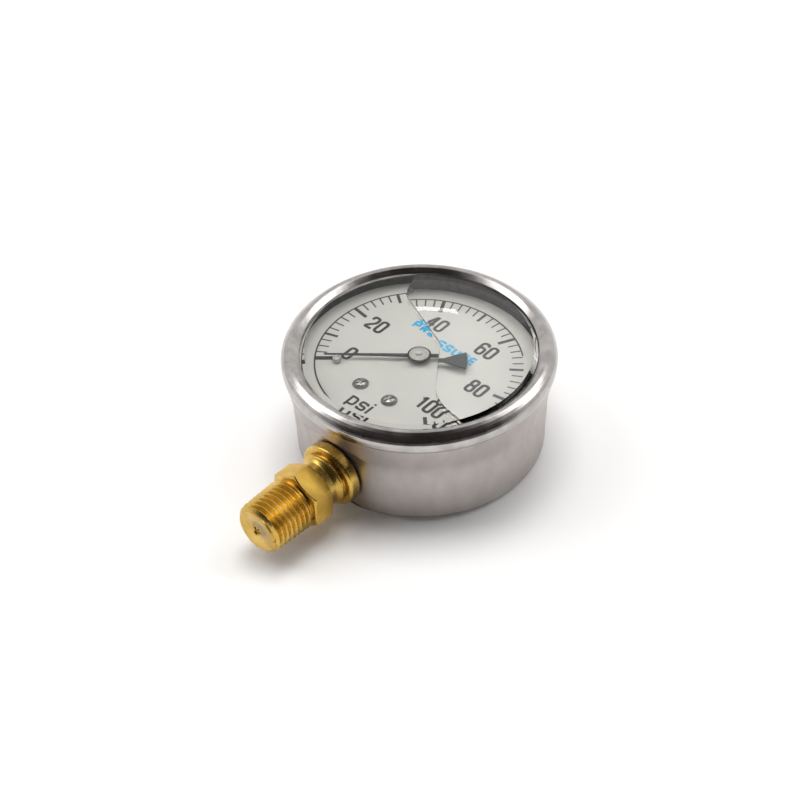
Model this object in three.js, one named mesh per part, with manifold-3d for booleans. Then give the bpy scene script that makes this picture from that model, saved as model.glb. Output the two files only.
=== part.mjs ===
// Pressure gauge with a Bourdon tube, a geared movement, a crimped bezel and a brass socket.
// Units are millimetres. The back of the case lies on z = 0 around the origin, +Z points out of
// the dial, +Y points to 12 o'clock and the socket points along -Y.
import * as THREE from 'three';
import { mergeVertices } from 'three/addons/utils/BufferGeometryUtils.js';
import Module from 'manifold-3d';

const wasm = await Module();
wasm.setup();

// ---- driving dimensions ----------------------------------------------------------------------
const ROUND = 48; // facets of the large round pieces
const SMALL_ROUND = 12; // facets of pins, screws and holes

const CASE_RADIUS = 31.8; // outside of the drum near the back
const CASE_WALL = 0.9;
const CASE_DRAFT = 0.35; // the drum is this much wider where the flare starts
const BACK_ROUNDING = 1.2;
const FLARE_HEIGHT = 9.25; // height of the flared part of the wall
const FLARE_OUT = 1.7; // how far the flare widens the drum
const GROOVE_HEIGHT = 0.55; // crimping groove under the rim lip
const GROOVE_DEPTH = 0.9;
const LIP_HEIGHT = 0.45;
const LIP_SETBACK = 0.5; // lip radius below the flare radius
const SEAT_WIDTH = 1.75; // flat on the lip that carries the gasket
const PAD_DROP = 1.1; // how far the flat pad is cut into the drum
const PAD_SLOPE = 0.85; // run of the pad's upper slope, y over z

const GASKET_THICKNESS = 0.35;
const WINDOW_THICKNESS = 1.5;
const WINDOW_RAISE = 1.2; // the middle stands this much above the flange held by the bezel
const WINDOW_BEVEL = 1.05; // width of the slope between flange and middle
const BEZEL_SHEET = 0.6;
const BEZEL_OVERLAP = 3.9; // how far the ring reaches inwards over the window
const BEZEL_CROWN = 2.18; // height of the crest above the window

const STEM_Z = 9.6; // height of the socket's axis above the back
const SEAL_THICKNESS = 0.4;
const COLLAR_RADIUS = 8.3;
const COLLAR_LENGTH = 3.3;
const RIDGE_RADIUS = 6.9;
const RIDGE_LENGTH = 1.4;
const RIDGE_GAP = 0.4;
const NECK_RADIUS = 5.9;
const NECK_LENGTH = 3.3;
const HEX_ACROSS = 14;
const HEX_LENGTH = 6.1;
const HEX_CHAMFER = 0.6;
const THREAD_PITCH = 25.4 / 18; // taper pipe thread, 18 to the inch
const THREAD_LENGTH = 12.2;
const THREAD_HEIGHT = 0.98;
const THREAD_SEGMENTS = 16; // facets in one turn
const THREAD_END_RADIUS = 6.6; // crest radius at the free end
const THREAD_TAPER = 1 / 32; // radius per length
const RELIEF_LENGTH = 0.7;
const BORE_RADIUS = 1.1;
const BLOCK_HALF_WIDTH = 6.9;
const BLOCK_HALF_HEIGHT = 3.8;
const BLOCK_CORNER = 1.4;
const BLOCK_END_Y = -13.5; // inner end of the block
const CLIP_THICKNESS = 1.2;
const CLIP_BITE = 1.4; // depth of the groove on each side of the block

const TUBE_RADIUS = 21.5; // centre line of the C
const TUBE_RADIAL = 2.6;
const TUBE_AXIAL = 5.4;
const TUBE_WALL = 0.4;
const TUBE_START = -107; // degrees from +X, inside the block
const TUBE_END = -25;
const TIP_LENGTH = 11; // degrees covered by the end cap
const TIP_WALL = 0.8;

const GEAR_MODULE = 0.25;
const PINION_TEETH = 12;
const SECTOR_TEETH_FULL = 96; // tooth count of the whole wheel the sector is cut from
const SECTOR_TEETH_CUT = 12;
const MESH_ANGLE = 130; // direction from the sector's arbor to the pinion
const SECTOR_REST_ANGLE = 113.5;
const TAIL_LENGTH = 4.2;
const TAIL_ANGLE = -38;
const LINK_PIN_X = 14.6; // link pin on the tube tip
const LINK_PIN_Y = -6.3;
const LINK_PIN_RADIUS = 0.5;
const LINK_HOLE_OPEN = 0.95; // roomy hole at the tip, where the closed linkage is opened
const ARBOR_RADIUS = 0.6;
const PIVOT_CLEARANCE = 0.15;

const PLATE_THICKNESS = 1.0;
const PLATE_GAP = 4.6;
const DIAL_GAP = 1.0; // between front plate and dial
const DIAL_THICKNESS = 0.8;
const DIAL_EDGE_GAP = 1.25; // between dial and case wall
const POST_X = 4.7;
const POST_Y = -16.3;
const POST_ACROSS = 3.2;
const SCREW_RADIUS = 0.85;
const SCREW_HEAD_RADIUS = 2.05;
const SCREW_HEAD_HEIGHT = 1.3;
const FIT_CLEARANCE = 0.1; // between a pin or screw and its hole

const POINTER_REST = -128.6; // degrees clockwise from 12 o'clock
const POINTER_TIP = 23.8;
const POINTER_LIFT = 1.8; // underside of the pointer above the dial
const POINTER_THICKNESS = 0.4;
const HUB_RADIUS = 2.95;
const CAP_RADIUS = 2.55;
const WINDOW_CLEARANCE = 1.5; // between hub cap and window seat
const STOP_PIN_RADIUS = 1.05;
const STOP_PIN_AT = 20.5; // distance of the zero stop from the centre
const STOP_PIN_ANGLE = -132.9;
const STOP_PIN_HEIGHT = 2.6;

const PLUG_RADIUS = 3.4;
const PLUG_HEAD_RADIUS = 4.6;
const PLUG_HEAD_HEIGHT = 1.4;
const PLUG_Z = 10.5;

// ---- derived heights and radii ---------------------------------------------------------------
const BLOCK_SEAT_Z = STEM_Z + BLOCK_HALF_HEIGHT - 0.8;
const BACK_PLATE_TOP = BLOCK_SEAT_Z + PLATE_THICKNESS;
const FRONT_PLATE_Z = BACK_PLATE_TOP + PLATE_GAP;
const FRONT_PLATE_TOP = FRONT_PLATE_Z + PLATE_THICKNESS;
const DIAL_Z = FRONT_PLATE_TOP + DIAL_GAP;
const DIAL_TOP = DIAL_Z + DIAL_THICKNESS;
const POINTER_Z = DIAL_TOP + POINTER_LIFT;
const POINTER_TOP = POINTER_Z + POINTER_THICKNESS;
const HUB_TOP = POINTER_TOP + 0.8;
const CAP_TOP = HUB_TOP + 0.25;
const SEAT_Z = CAP_TOP + WINDOW_CLEARANCE;
const LIP_Z = SEAT_Z - LIP_HEIGHT;
const GROOVE_Z = LIP_Z - GROOVE_HEIGHT;
const DRUM_HEIGHT = GROOVE_Z - FLARE_HEIGHT;
const WINDOW_Z = SEAT_Z + GASKET_THICKNESS;
const WINDOW_TOP = WINDOW_Z + WINDOW_THICKNESS;
const FLARE_RADIUS = CASE_RADIUS + CASE_DRAFT + FLARE_OUT;
const LIP_RADIUS = FLARE_RADIUS - LIP_SETBACK;
const SEAT_RADIUS = LIP_RADIUS - SEAT_WIDTH;
const DIAL_RADIUS = SEAT_RADIUS - DIAL_EDGE_GAP - 0.1;
const PAD_Y = -(CASE_RADIUS - PAD_DROP);
const PAD_INNER_Y = PAD_Y + CASE_WALL;
const COLLAR_Y = PAD_Y - SEAL_THICKNESS;
const RIDGE_Y = COLLAR_Y - COLLAR_LENGTH - RIDGE_GAP;
const NECK_Y = RIDGE_Y - RIDGE_LENGTH;
const HEX_Y = NECK_Y - NECK_LENGTH;
const RELIEF_Y = HEX_Y - HEX_LENGTH;
const THREAD_Y = RELIEF_Y - RELIEF_LENGTH;
const STEM_END_Y = THREAD_Y - THREAD_LENGTH;
const THREAD_ROOT_RADIUS = THREAD_END_RADIUS - THREAD_HEIGHT;
const CLIP_Y = PAD_INNER_Y + 0.05;
const TUBE_Z = STEM_Z - 0.4;
const SECTOR_RADIUS = (GEAR_MODULE * SECTOR_TEETH_FULL) / 2;
const PINION_RADIUS = (GEAR_MODULE * PINION_TEETH) / 2;
const GEAR_CENTRES = SECTOR_RADIUS + PINION_RADIUS;
const SECTOR_X = -GEAR_CENTRES * Math.cos(THREE.MathUtils.degToRad(MESH_ANGLE));
const SECTOR_Y = -GEAR_CENTRES * Math.sin(THREE.MathUtils.degToRad(MESH_ANGLE));
const SECTOR_Z = BACK_PLATE_TOP + 1.4;
const SECTOR_THICKNESS = 1.0;
const LINK_Z = SECTOR_Z + SECTOR_THICKNESS + 0.3;
const LINK_THICKNESS = 0.6;
const SPRING_Z = SECTOR_Z + SECTOR_THICKNESS + 0.9;
const SPRING_HEIGHT = 0.6;
const PILLARS = [[-6, 4.5], [-6.5, -9], [12.2, -2.4]];

// ---- materials -------------------------------------------------------------------------------
function metal(colour, roughness) {
  return new THREE.MeshStandardMaterial({ color: colour, roughness, metalness: 1 });
}
function soft(colour, roughness) {
  return new THREE.MeshStandardMaterial({ color: colour, roughness, metalness: 0 });
}
const STEEL = metal(0xb3a9a3, 0.32);
const BRIGHT_STEEL = metal(0xc9c2bd, 0.14);
const BRASS = metal(0xcf9d48, 0.28);
const TUBE_BRONZE = metal(0xb98a4e, 0.35);
const NICKEL = metal(0xc4c2bc, 0.22);
const RUBBER = soft(0x17171a, 0.7);
const BLACK_PAINT = soft(0x0c0c0f, 0.45);
const DIAL_WHITE = soft(0xe9e9e4, 0.5);
const CLEAR = new THREE.MeshStandardMaterial({
  color: 0xf4f8f7, roughness: 0.04, metalness: 0, transparent: true, opacity: 0.2,
});

// ---- solids ----------------------------------------------------------------------------------
function toSolid(geometry) {
  const bare = geometry.clone();
  bare.deleteAttribute('normal');
  bare.deleteAttribute('uv');
  const merged = mergeVertices(bare, 1e-4);
  const points = merged.attributes.position.array;
  const index = merged.index.array;
  const corners = [];
  let volume = 0;
  for (let i = 0; i < index.length; i += 3) {
    const [a, b, c] = [index[i], index[i + 1], index[i + 2]];
    if (a === b || b === c || c === a) continue;
    corners.push(a, b, c);
    const [ax, ay, az] = points.subarray(3 * a, 3 * a + 3);
    const [bx, by, bz] = points.subarray(3 * b, 3 * b + 3);
    const [cx, cy, cz] = points.subarray(3 * c, 3 * c + 3);
    volume += ax * (by * cz - bz * cy) + ay * (bz * cx - bx * cz) + az * (bx * cy - by * cx);
  }
  if (volume < 0) corners.reverse();
  const mesh = new wasm.Mesh({
    numProp: 3,
    vertProperties: new Float32Array(points),
    triVerts: new Uint32Array(corners),
  });
  return new wasm.Manifold(mesh);
}

function toGeometry(solid) {
  const mesh = solid.getMesh();
  const geometry = new THREE.BufferGeometry();
  geometry.setAttribute('position', new THREE.BufferAttribute(mesh.vertProperties, 3));
  geometry.setIndex(new THREE.BufferAttribute(mesh.triVerts, 1));
  geometry.computeVertexNormals();
  return geometry;
}

function join(first, ...others) {
  return toGeometry(others.reduce((solid, other) => solid.add(toSolid(other)), toSolid(first)));
}

function cut(first, ...tools) {
  return toGeometry(tools.reduce((solid, tool) => solid.subtract(toSolid(tool)), toSolid(first)));
}

function common(first, second) {
  return toGeometry(toSolid(first).intersect(toSolid(second)));
}

function turned(profile, segments = ROUND) {
  const points = profile.map(([r, z]) => new THREE.Vector2(r, z));
  return new THREE.LatheGeometry(points, segments).rotateX(Math.PI / 2);
}

function turnedAboutStem(profile, segments = ROUND) {
  const points = profile.map(([r, y]) => new THREE.Vector2(r, y));
  return new THREE.LatheGeometry(points, segments).translate(0, 0, STEM_Z);
}

function rod(x, y, radius, z0, z1, segments = SMALL_ROUND) {
  const geometry = new THREE.CylinderGeometry(radius, radius, z1 - z0, segments);
  return geometry.rotateX(Math.PI / 2).translate(x, y, (z0 + z1) / 2);
}

function box(x0, x1, y0, y1, z0, z1) {
  const geometry = new THREE.BoxGeometry(x1 - x0, y1 - y0, z1 - z0);
  return geometry.translate((x0 + x1) / 2, (y0 + y1) / 2, (z0 + z1) / 2);
}

function plate(shape, z0, z1) {
  const options = { depth: z1 - z0, bevelEnabled: false, curveSegments: 4 };
  return new THREE.ExtrudeGeometry(shape, options).translate(0, 0, z0);
}

function prismAlongStem(shape, y0, y1) {
  const options = { depth: y1 - y0, bevelEnabled: false, curveSegments: 3 };
  return new THREE.ExtrudeGeometry(shape, options).rotateX(Math.PI / 2).translate(0, y1, STEM_Z);
}

function outline(points) {
  return new THREE.Shape(points.map(([x, y]) => new THREE.Vector2(x, y)));
}

function roundedRectangle(halfWidth, halfHeight, corner) {
  const shape = new THREE.Shape();
  shape.absarc(halfWidth - corner, halfHeight - corner, corner, 0, Math.PI / 2);
  shape.absarc(corner - halfWidth, halfHeight - corner, corner, Math.PI / 2, Math.PI);
  shape.absarc(corner - halfWidth, corner - halfHeight, corner, Math.PI, 1.5 * Math.PI);
  shape.absarc(halfWidth - corner, corner - halfHeight, corner, 1.5 * Math.PI, 2 * Math.PI);
  shape.closePath();
  return shape;
}

// A bar between two points with round ends.
function strap(ax, ay, bx, by, halfWidth) {
  const angle = Math.atan2(by - ay, bx - ax);
  const shape = new THREE.Shape();
  shape.absarc(bx, by, halfWidth, angle - Math.PI / 2, angle + Math.PI / 2);
  shape.absarc(ax, ay, halfWidth, angle + Math.PI / 2, angle + 1.5 * Math.PI);
  shape.closePath();
  return shape;
}

// A straight extrusion whose length parameter, 0 to 1, is carried through a placing function.
function swept(shape, steps, place) {
  const options = { depth: 1, steps, bevelEnabled: false, curveSegments: 2 };
  const geometry = new THREE.ExtrudeGeometry(shape, options);
  const position = geometry.attributes.position;
  for (let i = 0; i < position.count; i += 1) {
    const [x, y, z] = place(position.getX(i), position.getY(i), position.getZ(i));
    position.setXYZ(i, x, y, z);
  }
  return geometry;
}

function node(name, geometry, material) {
  const mesh = new THREE.Mesh(geometry, material);
  mesh.name = name;
  return mesh;
}

function rad(degrees) {
  return THREE.MathUtils.degToRad(degrees);
}

// ---- case, bezel and window ------------------------------------------------------------------
// Everything below a flat at y, with the sloped run-out towards the flare.
function padTool(y) {
  const top = STEM_Z + COLLAR_RADIUS + 0.25 - (y - PAD_Y) * 0.4;
  const run = 3 + CASE_RADIUS * 0.05;
  const side = outline([
    [y, -5], [y, top], [y - run * PAD_SLOPE, top + run], [y - 60, top + run], [y - 60, -5],
  ]);
  const geometry = new THREE.ExtrudeGeometry(side, { depth: 80, bevelEnabled: false });
  const position = geometry.attributes.position;
  for (let i = 0; i < position.count; i += 1) {
    position.setXYZ(i, position.getZ(i) - 40, position.getX(i), position.getY(i));
  }
  return geometry;
}

function buildCase() {
  const front = CASE_RADIUS + CASE_DRAFT;
  const outside = turned([
    [0, 0], [CASE_RADIUS - BACK_ROUNDING, 0], [CASE_RADIUS - 0.35, 0.35],
    [CASE_RADIUS, BACK_ROUNDING], [front, DRUM_HEIGHT], [front + FLARE_OUT * 0.25, DRUM_HEIGHT + 3],
    [front + FLARE_OUT * 0.68, DRUM_HEIGHT + 6.5], [FLARE_RADIUS, GROOVE_Z],
    [FLARE_RADIUS - GROOVE_DEPTH, GROOVE_Z], [FLARE_RADIUS - GROOVE_DEPTH, LIP_Z],
    [LIP_RADIUS, LIP_Z], [LIP_RADIUS, SEAT_Z], [0, SEAT_Z],
  ]);
  const inside = turned([
    [0, CASE_WALL], [CASE_RADIUS - BACK_ROUNDING - 0.2, CASE_WALL],
    [CASE_RADIUS - CASE_WALL, BACK_ROUNDING + 0.4], [front - CASE_WALL, DRUM_HEIGHT],
    [SEAT_RADIUS, SEAT_Z - 3], [SEAT_RADIUS, SEAT_Z + 2], [0, SEAT_Z + 2],
  ]);
  const outer = cut(outside, padTool(PAD_Y));
  const inner = cut(inside, padTool(PAD_INNER_Y));
  const throughPad = prismAlongStem(
    roundedRectangle(BLOCK_HALF_WIDTH + 0.25, BLOCK_HALF_HEIGHT + 0.25, BLOCK_CORNER + 0.2),
    PAD_Y - 2, PAD_INNER_Y + 2,
  );
  const throughTop = new THREE.CylinderGeometry(
    PLUG_RADIUS + FIT_CLEARANCE, PLUG_RADIUS + FIT_CLEARANCE, 8, 24,
  ).translate(0, CASE_RADIUS, PLUG_Z);
  return cut(outer, inner, throughPad, throughTop);
}

function buildBezel() {
  const foot = GROOVE_Z + 0.07;
  const hem = FLARE_RADIUS - GROOVE_DEPTH + 0.1;
  const skirt = LIP_RADIUS + 0.25;
  const edge = LIP_RADIUS - BEZEL_OVERLAP;
  const top = WINDOW_TOP;
  return turned([
    [hem, foot], [skirt + 0.4, foot], [skirt + BEZEL_SHEET, foot + 0.7],
    [skirt + BEZEL_SHEET + 0.08, top - 1.3], [skirt + BEZEL_SHEET + 0.05, top - 0.4],
    [skirt + 0.45, top + 0.35], [skirt, top + 1.05], [skirt - 0.6, top + 1.6],
    [skirt - 1.3, top + 2.02], [skirt - 1.8, top + BEZEL_CROWN], [skirt - 2.5, top + 2.0],
    [edge + 0.1, top + 0.8], [edge, top + 0.08], [edge + 0.7, top + 0.08],
    [skirt - 2.3, top + 1.3], [skirt - 1.8, top + 1.5], [skirt - 1.4, top + 1.4],
    [skirt - 0.9, top + 1.1], [skirt - 0.35, top + 0.6], [skirt, top],
    [skirt + 0.02, top - 1.3], [skirt - 0.05, foot + 0.42], [hem, foot + 0.42], [hem, foot],
  ]);
}

function buildWindow() {
  const radius = LIP_RADIUS - 0.05;
  const foot = LIP_RADIUS - BEZEL_OVERLAP - 0.05;
  const raised = WINDOW_TOP + WINDOW_RAISE;
  return turned([
    [0, WINDOW_Z], [radius, WINDOW_Z], [radius, WINDOW_TOP], [foot, WINDOW_TOP],
    [foot - WINDOW_BEVEL, raised], [0, raised],
  ]);
}

function buildGasket() {
  const [inner, outer] = [SEAT_RADIUS + 0.1, LIP_RADIUS - 0.05];
  return turned([
    [inner, SEAT_Z], [outer, SEAT_Z], [outer, WINDOW_Z], [inner, WINDOW_Z], [inner, SEAT_Z],
  ]);
}

function buildFillPlug() {
  const head = CASE_RADIUS + CASE_DRAFT + FIT_CLEARANCE;
  const inner = CASE_RADIUS - 2.4;
  const profile = [
    [0, inner], [PLUG_RADIUS - 0.4, inner], [PLUG_RADIUS, inner + 0.5], [PLUG_RADIUS, head],
    [PLUG_HEAD_RADIUS, head], [PLUG_HEAD_RADIUS, head + 0.7],
    [PLUG_HEAD_RADIUS - 0.7, head + PLUG_HEAD_HEIGHT], [0, head + PLUG_HEAD_HEIGHT],
  ];
  const points = profile.map(([r, y]) => new THREE.Vector2(r, y));
  return new THREE.LatheGeometry(points, 24).translate(0, 0, PLUG_Z);
}

// ---- socket and what seals and holds it ------------------------------------------------------
// The thread's ridge runs past both ends of the thread and is trimmed by the stem's outline.
function threadRidge() {
  const steps = Math.ceil((THREAD_LENGTH / THREAD_PITCH + 1.6) * THREAD_SEGMENTS);
  const turns = steps / THREAD_SEGMENTS;
  const start = STEM_END_Y - 0.8 * THREAD_PITCH;
  const sunk = 0.12;
  const crest = 0.04;
  const foot = crest + (THREAD_HEIGHT + sunk) * Math.tan(rad(30));
  const profile = outline([
    [-sunk, -foot], [THREAD_HEIGHT, -crest], [THREAD_HEIGHT, crest], [-sunk, foot],
  ]);
  return swept(profile, steps, (x, y, t) => {
    const along = start + THREAD_PITCH * turns * t + y;
    const radius = THREAD_ROOT_RADIUS + (along - STEM_END_Y) * THREAD_TAPER + x;
    const angle = 2 * Math.PI * turns * t;
    return [radius * Math.sin(angle), along, STEM_Z + radius * Math.cos(angle)];
  });
}

function buildSocket() {
  const threadTop = THREAD_END_RADIUS + THREAD_LENGTH * THREAD_TAPER;
  const rootTop = THREAD_ROOT_RADIUS + THREAD_LENGTH * THREAD_TAPER;
  const envelope = turnedAboutStem([
    [0, STEM_END_Y], [THREAD_ROOT_RADIUS + 0.05, STEM_END_Y],
    [THREAD_END_RADIUS + 0.25, STEM_END_Y + 1.2], [threadTop + 0.25, THREAD_Y - 1.0],
    [rootTop, THREAD_Y], [rootTop, THREAD_Y + 0.3], [0, THREAD_Y + 0.3],
  ], THREAD_SEGMENTS);
  const core = turnedAboutStem([
    [0, STEM_END_Y], [THREAD_ROOT_RADIUS, STEM_END_Y], [rootTop, THREAD_Y], [rootTop, HEX_Y - 1],
    [0, HEX_Y - 1],
  ], THREAD_SEGMENTS);
  const thread = common(threadRidge(), envelope);

  const hexagon = outline([0, 1, 2, 3, 4, 5].map((i) => {
    const radius = HEX_ACROSS / 2 / Math.cos(Math.PI / 6);
    return [radius * Math.sin((i * Math.PI) / 3), radius * Math.cos((i * Math.PI) / 3)];
  }));
  const corner = HEX_ACROSS / 2 / Math.cos(Math.PI / 6) + 0.05;
  const bevel = turnedAboutStem([
    [0, RELIEF_Y], [HEX_ACROSS / 2 - 0.1, RELIEF_Y], [corner, RELIEF_Y + HEX_CHAMFER],
    [corner, HEX_Y - HEX_CHAMFER], [HEX_ACROSS / 2 - 0.1, HEX_Y], [0, HEX_Y],
  ], 28);
  const nut = common(prismAlongStem(hexagon, RELIEF_Y, HEX_Y), bevel);

  const upper = turnedAboutStem([
    [0, HEX_Y - 0.5], [NECK_RADIUS, HEX_Y - 0.5], [NECK_RADIUS, NECK_Y],
    [RIDGE_RADIUS - 0.25, NECK_Y], [RIDGE_RADIUS, NECK_Y + 0.25],
    [RIDGE_RADIUS, RIDGE_Y - 0.25], [RIDGE_RADIUS - 0.25, RIDGE_Y], [NECK_RADIUS + 0.3, RIDGE_Y],
    [NECK_RADIUS + 0.3, RIDGE_Y + RIDGE_GAP], [COLLAR_RADIUS - 0.3, RIDGE_Y + RIDGE_GAP],
    [COLLAR_RADIUS, RIDGE_Y + RIDGE_GAP + 0.3], [COLLAR_RADIUS, COLLAR_Y - 0.2],
    [COLLAR_RADIUS - 0.2, COLLAR_Y], [0, COLLAR_Y],
  ], 28);

  const block = prismAlongStem(
    roundedRectangle(BLOCK_HALF_WIDTH, BLOCK_HALF_HEIGHT, BLOCK_CORNER), COLLAR_Y - 1, BLOCK_END_Y,
  );
  const clipGrooveY = CLIP_Y + CLIP_THICKNESS + 0.1;
  const wide = BLOCK_HALF_WIDTH + 2;
  const tall = STEM_Z + BLOCK_HALF_HEIGHT + 2;
  const grooveLeft = box(-wide, CLIP_BITE - BLOCK_HALF_WIDTH, CLIP_Y - 0.1, clipGrooveY, 0, tall);
  const grooveRight = box(BLOCK_HALF_WIDTH - CLIP_BITE, wide, CLIP_Y - 0.1, clipGrooveY, 0, tall);
  const seat = box(-wide, wide, clipGrooveY + 0.6, BLOCK_END_Y + 1, BLOCK_SEAT_Z, tall);
  const pocket = tubeSweep(TUBE_RADIAL / 2 + 0.25, TUBE_AXIAL / 2 + 0.25, TUBE_START + 2, -118, 4);
  const pocketY = TUBE_RADIUS * Math.sin(rad(TUBE_START + 1));
  const boreEnd = pocketY + 1.4;
  const bore = new THREE.CylinderGeometry(BORE_RADIUS, BORE_RADIUS, boreEnd - STEM_END_Y + 1, 20)
    .translate(0, (boreEnd + STEM_END_Y - 1) / 2, STEM_Z);
  const crossBore = new THREE.CylinderGeometry(0.8, 0.8, BLOCK_HALF_WIDTH - 0.6, 16)
    .rotateZ(Math.PI / 2).translate(-(BLOCK_HALF_WIDTH - 0.6) / 2, pocketY, STEM_Z - 0.2);
  const mouth = new THREE.CylinderGeometry(BORE_RADIUS, BORE_RADIUS + 0.8, 0.8, 20)
    .translate(0, STEM_END_Y - 0.1, STEM_Z);
  const postHoles = [-POST_X, POST_X].map((x) => (
    rod(x, POST_Y, SCREW_RADIUS + FIT_CLEARANCE, BLOCK_SEAT_Z - 2.8, BLOCK_SEAT_Z + 3)
  ));
  const solid = join(core, thread, nut, upper, block);
  return cut(solid, grooveLeft, grooveRight, seat, pocket, bore, crossBore, mouth, ...postHoles);
}

function buildRestrictor() {
  const radius = BORE_RADIUS - FIT_CLEARANCE;
  const profile = [
    [0.3, STEM_END_Y + 0.8], [radius - 0.2, STEM_END_Y + 0.8], [radius, STEM_END_Y + 1.0],
    [radius, STEM_END_Y + 4], [0.3, STEM_END_Y + 4], [0.3, STEM_END_Y + 0.8],
  ];
  return turnedAboutStem(profile, 16);
}

function buildSeal() {
  const shape = new THREE.Shape().absarc(0, 0, COLLAR_RADIUS - 0.45, 0, 2 * Math.PI);
  const hole = roundedRectangle(
    BLOCK_HALF_WIDTH + 0.15, BLOCK_HALF_HEIGHT + 0.15, BLOCK_CORNER + 0.15,
  );
  shape.holes.push(new THREE.Path(hole.getPoints(3)));
  const options = { depth: SEAL_THICKNESS, bevelEnabled: false, curveSegments: 16 };
  return new THREE.ExtrudeGeometry(shape, options).rotateX(Math.PI / 2).translate(0, PAD_Y, STEM_Z);
}

function buildClip() {
  const slot = BLOCK_HALF_WIDTH - CLIP_BITE + 0.1;
  const outer = slot + 2.5;
  const bridge = BLOCK_HALF_HEIGHT + 0.25;
  const shape = outline([
    [-outer, -5], [-outer + 0.6, -5.6], [-slot, -5.6], [-slot, bridge], [slot, bridge],
    [slot, -5.6], [outer - 0.6, -5.6], [outer, -5], [outer, bridge + 1.4],
    [outer - 1, bridge + 2.4], [-outer + 1, bridge + 2.4], [-outer, bridge + 1.4],
  ]);
  return prismAlongStem(shape, CLIP_Y, CLIP_Y + CLIP_THICKNESS);
}

// ---- Bourdon tube ----------------------------------------------------------------------------
function ovalShape(halfRadial, halfAxial) {
  const shape = new THREE.Shape();
  const straight = halfAxial - halfRadial;
  shape.absarc(0, straight, halfRadial, 0, Math.PI);
  shape.absarc(0, -straight, halfRadial, Math.PI, 2 * Math.PI);
  shape.closePath();
  return shape;
}

// The tube's oval carried clockwise about the dial's centre from one angle to another.
function tubeSweep(halfRadial, halfAxial, from, to, steps, wall = 0) {
  const shape = ovalShape(halfRadial, halfAxial);
  if (wall > 0) {
    const hole = ovalShape(halfRadial - wall, halfAxial - wall);
    shape.holes.push(new THREE.Path(hole.getPoints(2).reverse()));
  }
  return swept(shape, steps, (x, y, t) => {
    const angle = rad(from + (to - from) * t);
    return [(TUBE_RADIUS + x) * Math.cos(angle), (TUBE_RADIUS + x) * Math.sin(angle), TUBE_Z + y];
  });
}

function buildTube() {
  return tubeSweep(TUBE_RADIAL / 2, TUBE_AXIAL / 2, TUBE_START, TUBE_END - 360, 36, TUBE_WALL);
}

function buildTip() {
  const [halfRadial, halfAxial] = [TUBE_RADIAL / 2, TUBE_AXIAL / 2];
  const start = TUBE_END + 4;
  const cap = tubeSweep(halfRadial + TIP_WALL, halfAxial + TIP_WALL, start, start - TIP_LENGTH, 4);
  const socket = tubeSweep(halfRadial + 0.25, halfAxial + 0.25, start + 2, TUBE_END - 0.8, 3);
  const angle = rad(start - TIP_LENGTH + 3.2);
  const [x, y] = [(TUBE_RADIUS - 0.3) * Math.cos(angle), (TUBE_RADIUS - 0.3) * Math.sin(angle)];
  const riser = rod(x, y, 1.5, TUBE_Z, SECTOR_Z + SECTOR_THICKNESS);
  const arm = plate(strap(x, y, LINK_PIN_X, LINK_PIN_Y, 1.2), SECTOR_Z + 0.2, LINK_Z - 0.3);
  const hole = rod(LINK_PIN_X, LINK_PIN_Y, LINK_PIN_RADIUS + FIT_CLEARANCE, SECTOR_Z - 1, LINK_Z);
  return cut(join(cap, riser, arm), socket, hole);
}

// ---- movement --------------------------------------------------------------------------------
function buildBackPlate() {
  const shape = outline([
    [-8.4, 6.6], [2.6, 6.6], [14.2, -0.6], [14.2, -4.4], [10.9, -13.6], [6.6, -18.6], [-6.6, -18.6],
    [-8.6, -11],
  ]);
  const body = plate(shape, BLOCK_SEAT_Z, BACK_PLATE_TOP);
  const [z0, z1] = [BLOCK_SEAT_Z - 1, BACK_PLATE_TOP + 1];
  const holes = [
    rod(0, 0, ARBOR_RADIUS + PIVOT_CLEARANCE, z0, z1),
    rod(SECTOR_X, SECTOR_Y, ARBOR_RADIUS + PIVOT_CLEARANCE, z0, z1),
    rod(-POST_X, POST_Y, SCREW_RADIUS + FIT_CLEARANCE, z0, z1),
    rod(POST_X, POST_Y, SCREW_RADIUS + FIT_CLEARANCE, z0, z1),
    rod(STUD_X, STUD_Y, 0.4 + FIT_CLEARANCE, z0, z1),
    ...PILLARS.map(([x, y]) => rod(x, y, 0.7 + FIT_CLEARANCE, z0, z1)),
  ];
  return cut(body, ...holes);
}

function buildFrontPlate() {
  const shape = outline([
    [-8.4, 6.6], [2.6, 6.6], [14.2, -0.6], [14.2, -4.4], [10.9, -12.8], [-6, -12.8], [-8.6, -11],
  ]);
  const body = plate(shape, FRONT_PLATE_Z, FRONT_PLATE_TOP);
  const [z0, z1] = [FRONT_PLATE_Z - 1, FRONT_PLATE_TOP + 1];
  const holes = [
    rod(0, 0, ARBOR_RADIUS + PIVOT_CLEARANCE, z0, z1),
    rod(SECTOR_X, SECTOR_Y, ARBOR_RADIUS + PIVOT_CLEARANCE, z0, z1),
    ...PILLARS.map(([x, y]) => rod(x, y, 0.6 + FIT_CLEARANCE, z0, z1)),
  ];
  return cut(body, ...holes);
}

function buildPillar([x, y]) {
  const column = rod(x, y, 1.4, BACK_PLATE_TOP, FRONT_PLATE_Z);
  const rivet = rod(x, y, 0.7, BLOCK_SEAT_Z + 0.1, BACK_PLATE_TOP + 0.5);
  const hole = rod(x, y, 0.6 + FIT_CLEARANCE, FRONT_PLATE_Z - 2, FRONT_PLATE_Z + 1);
  return cut(join(column, rivet), hole);
}

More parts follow.
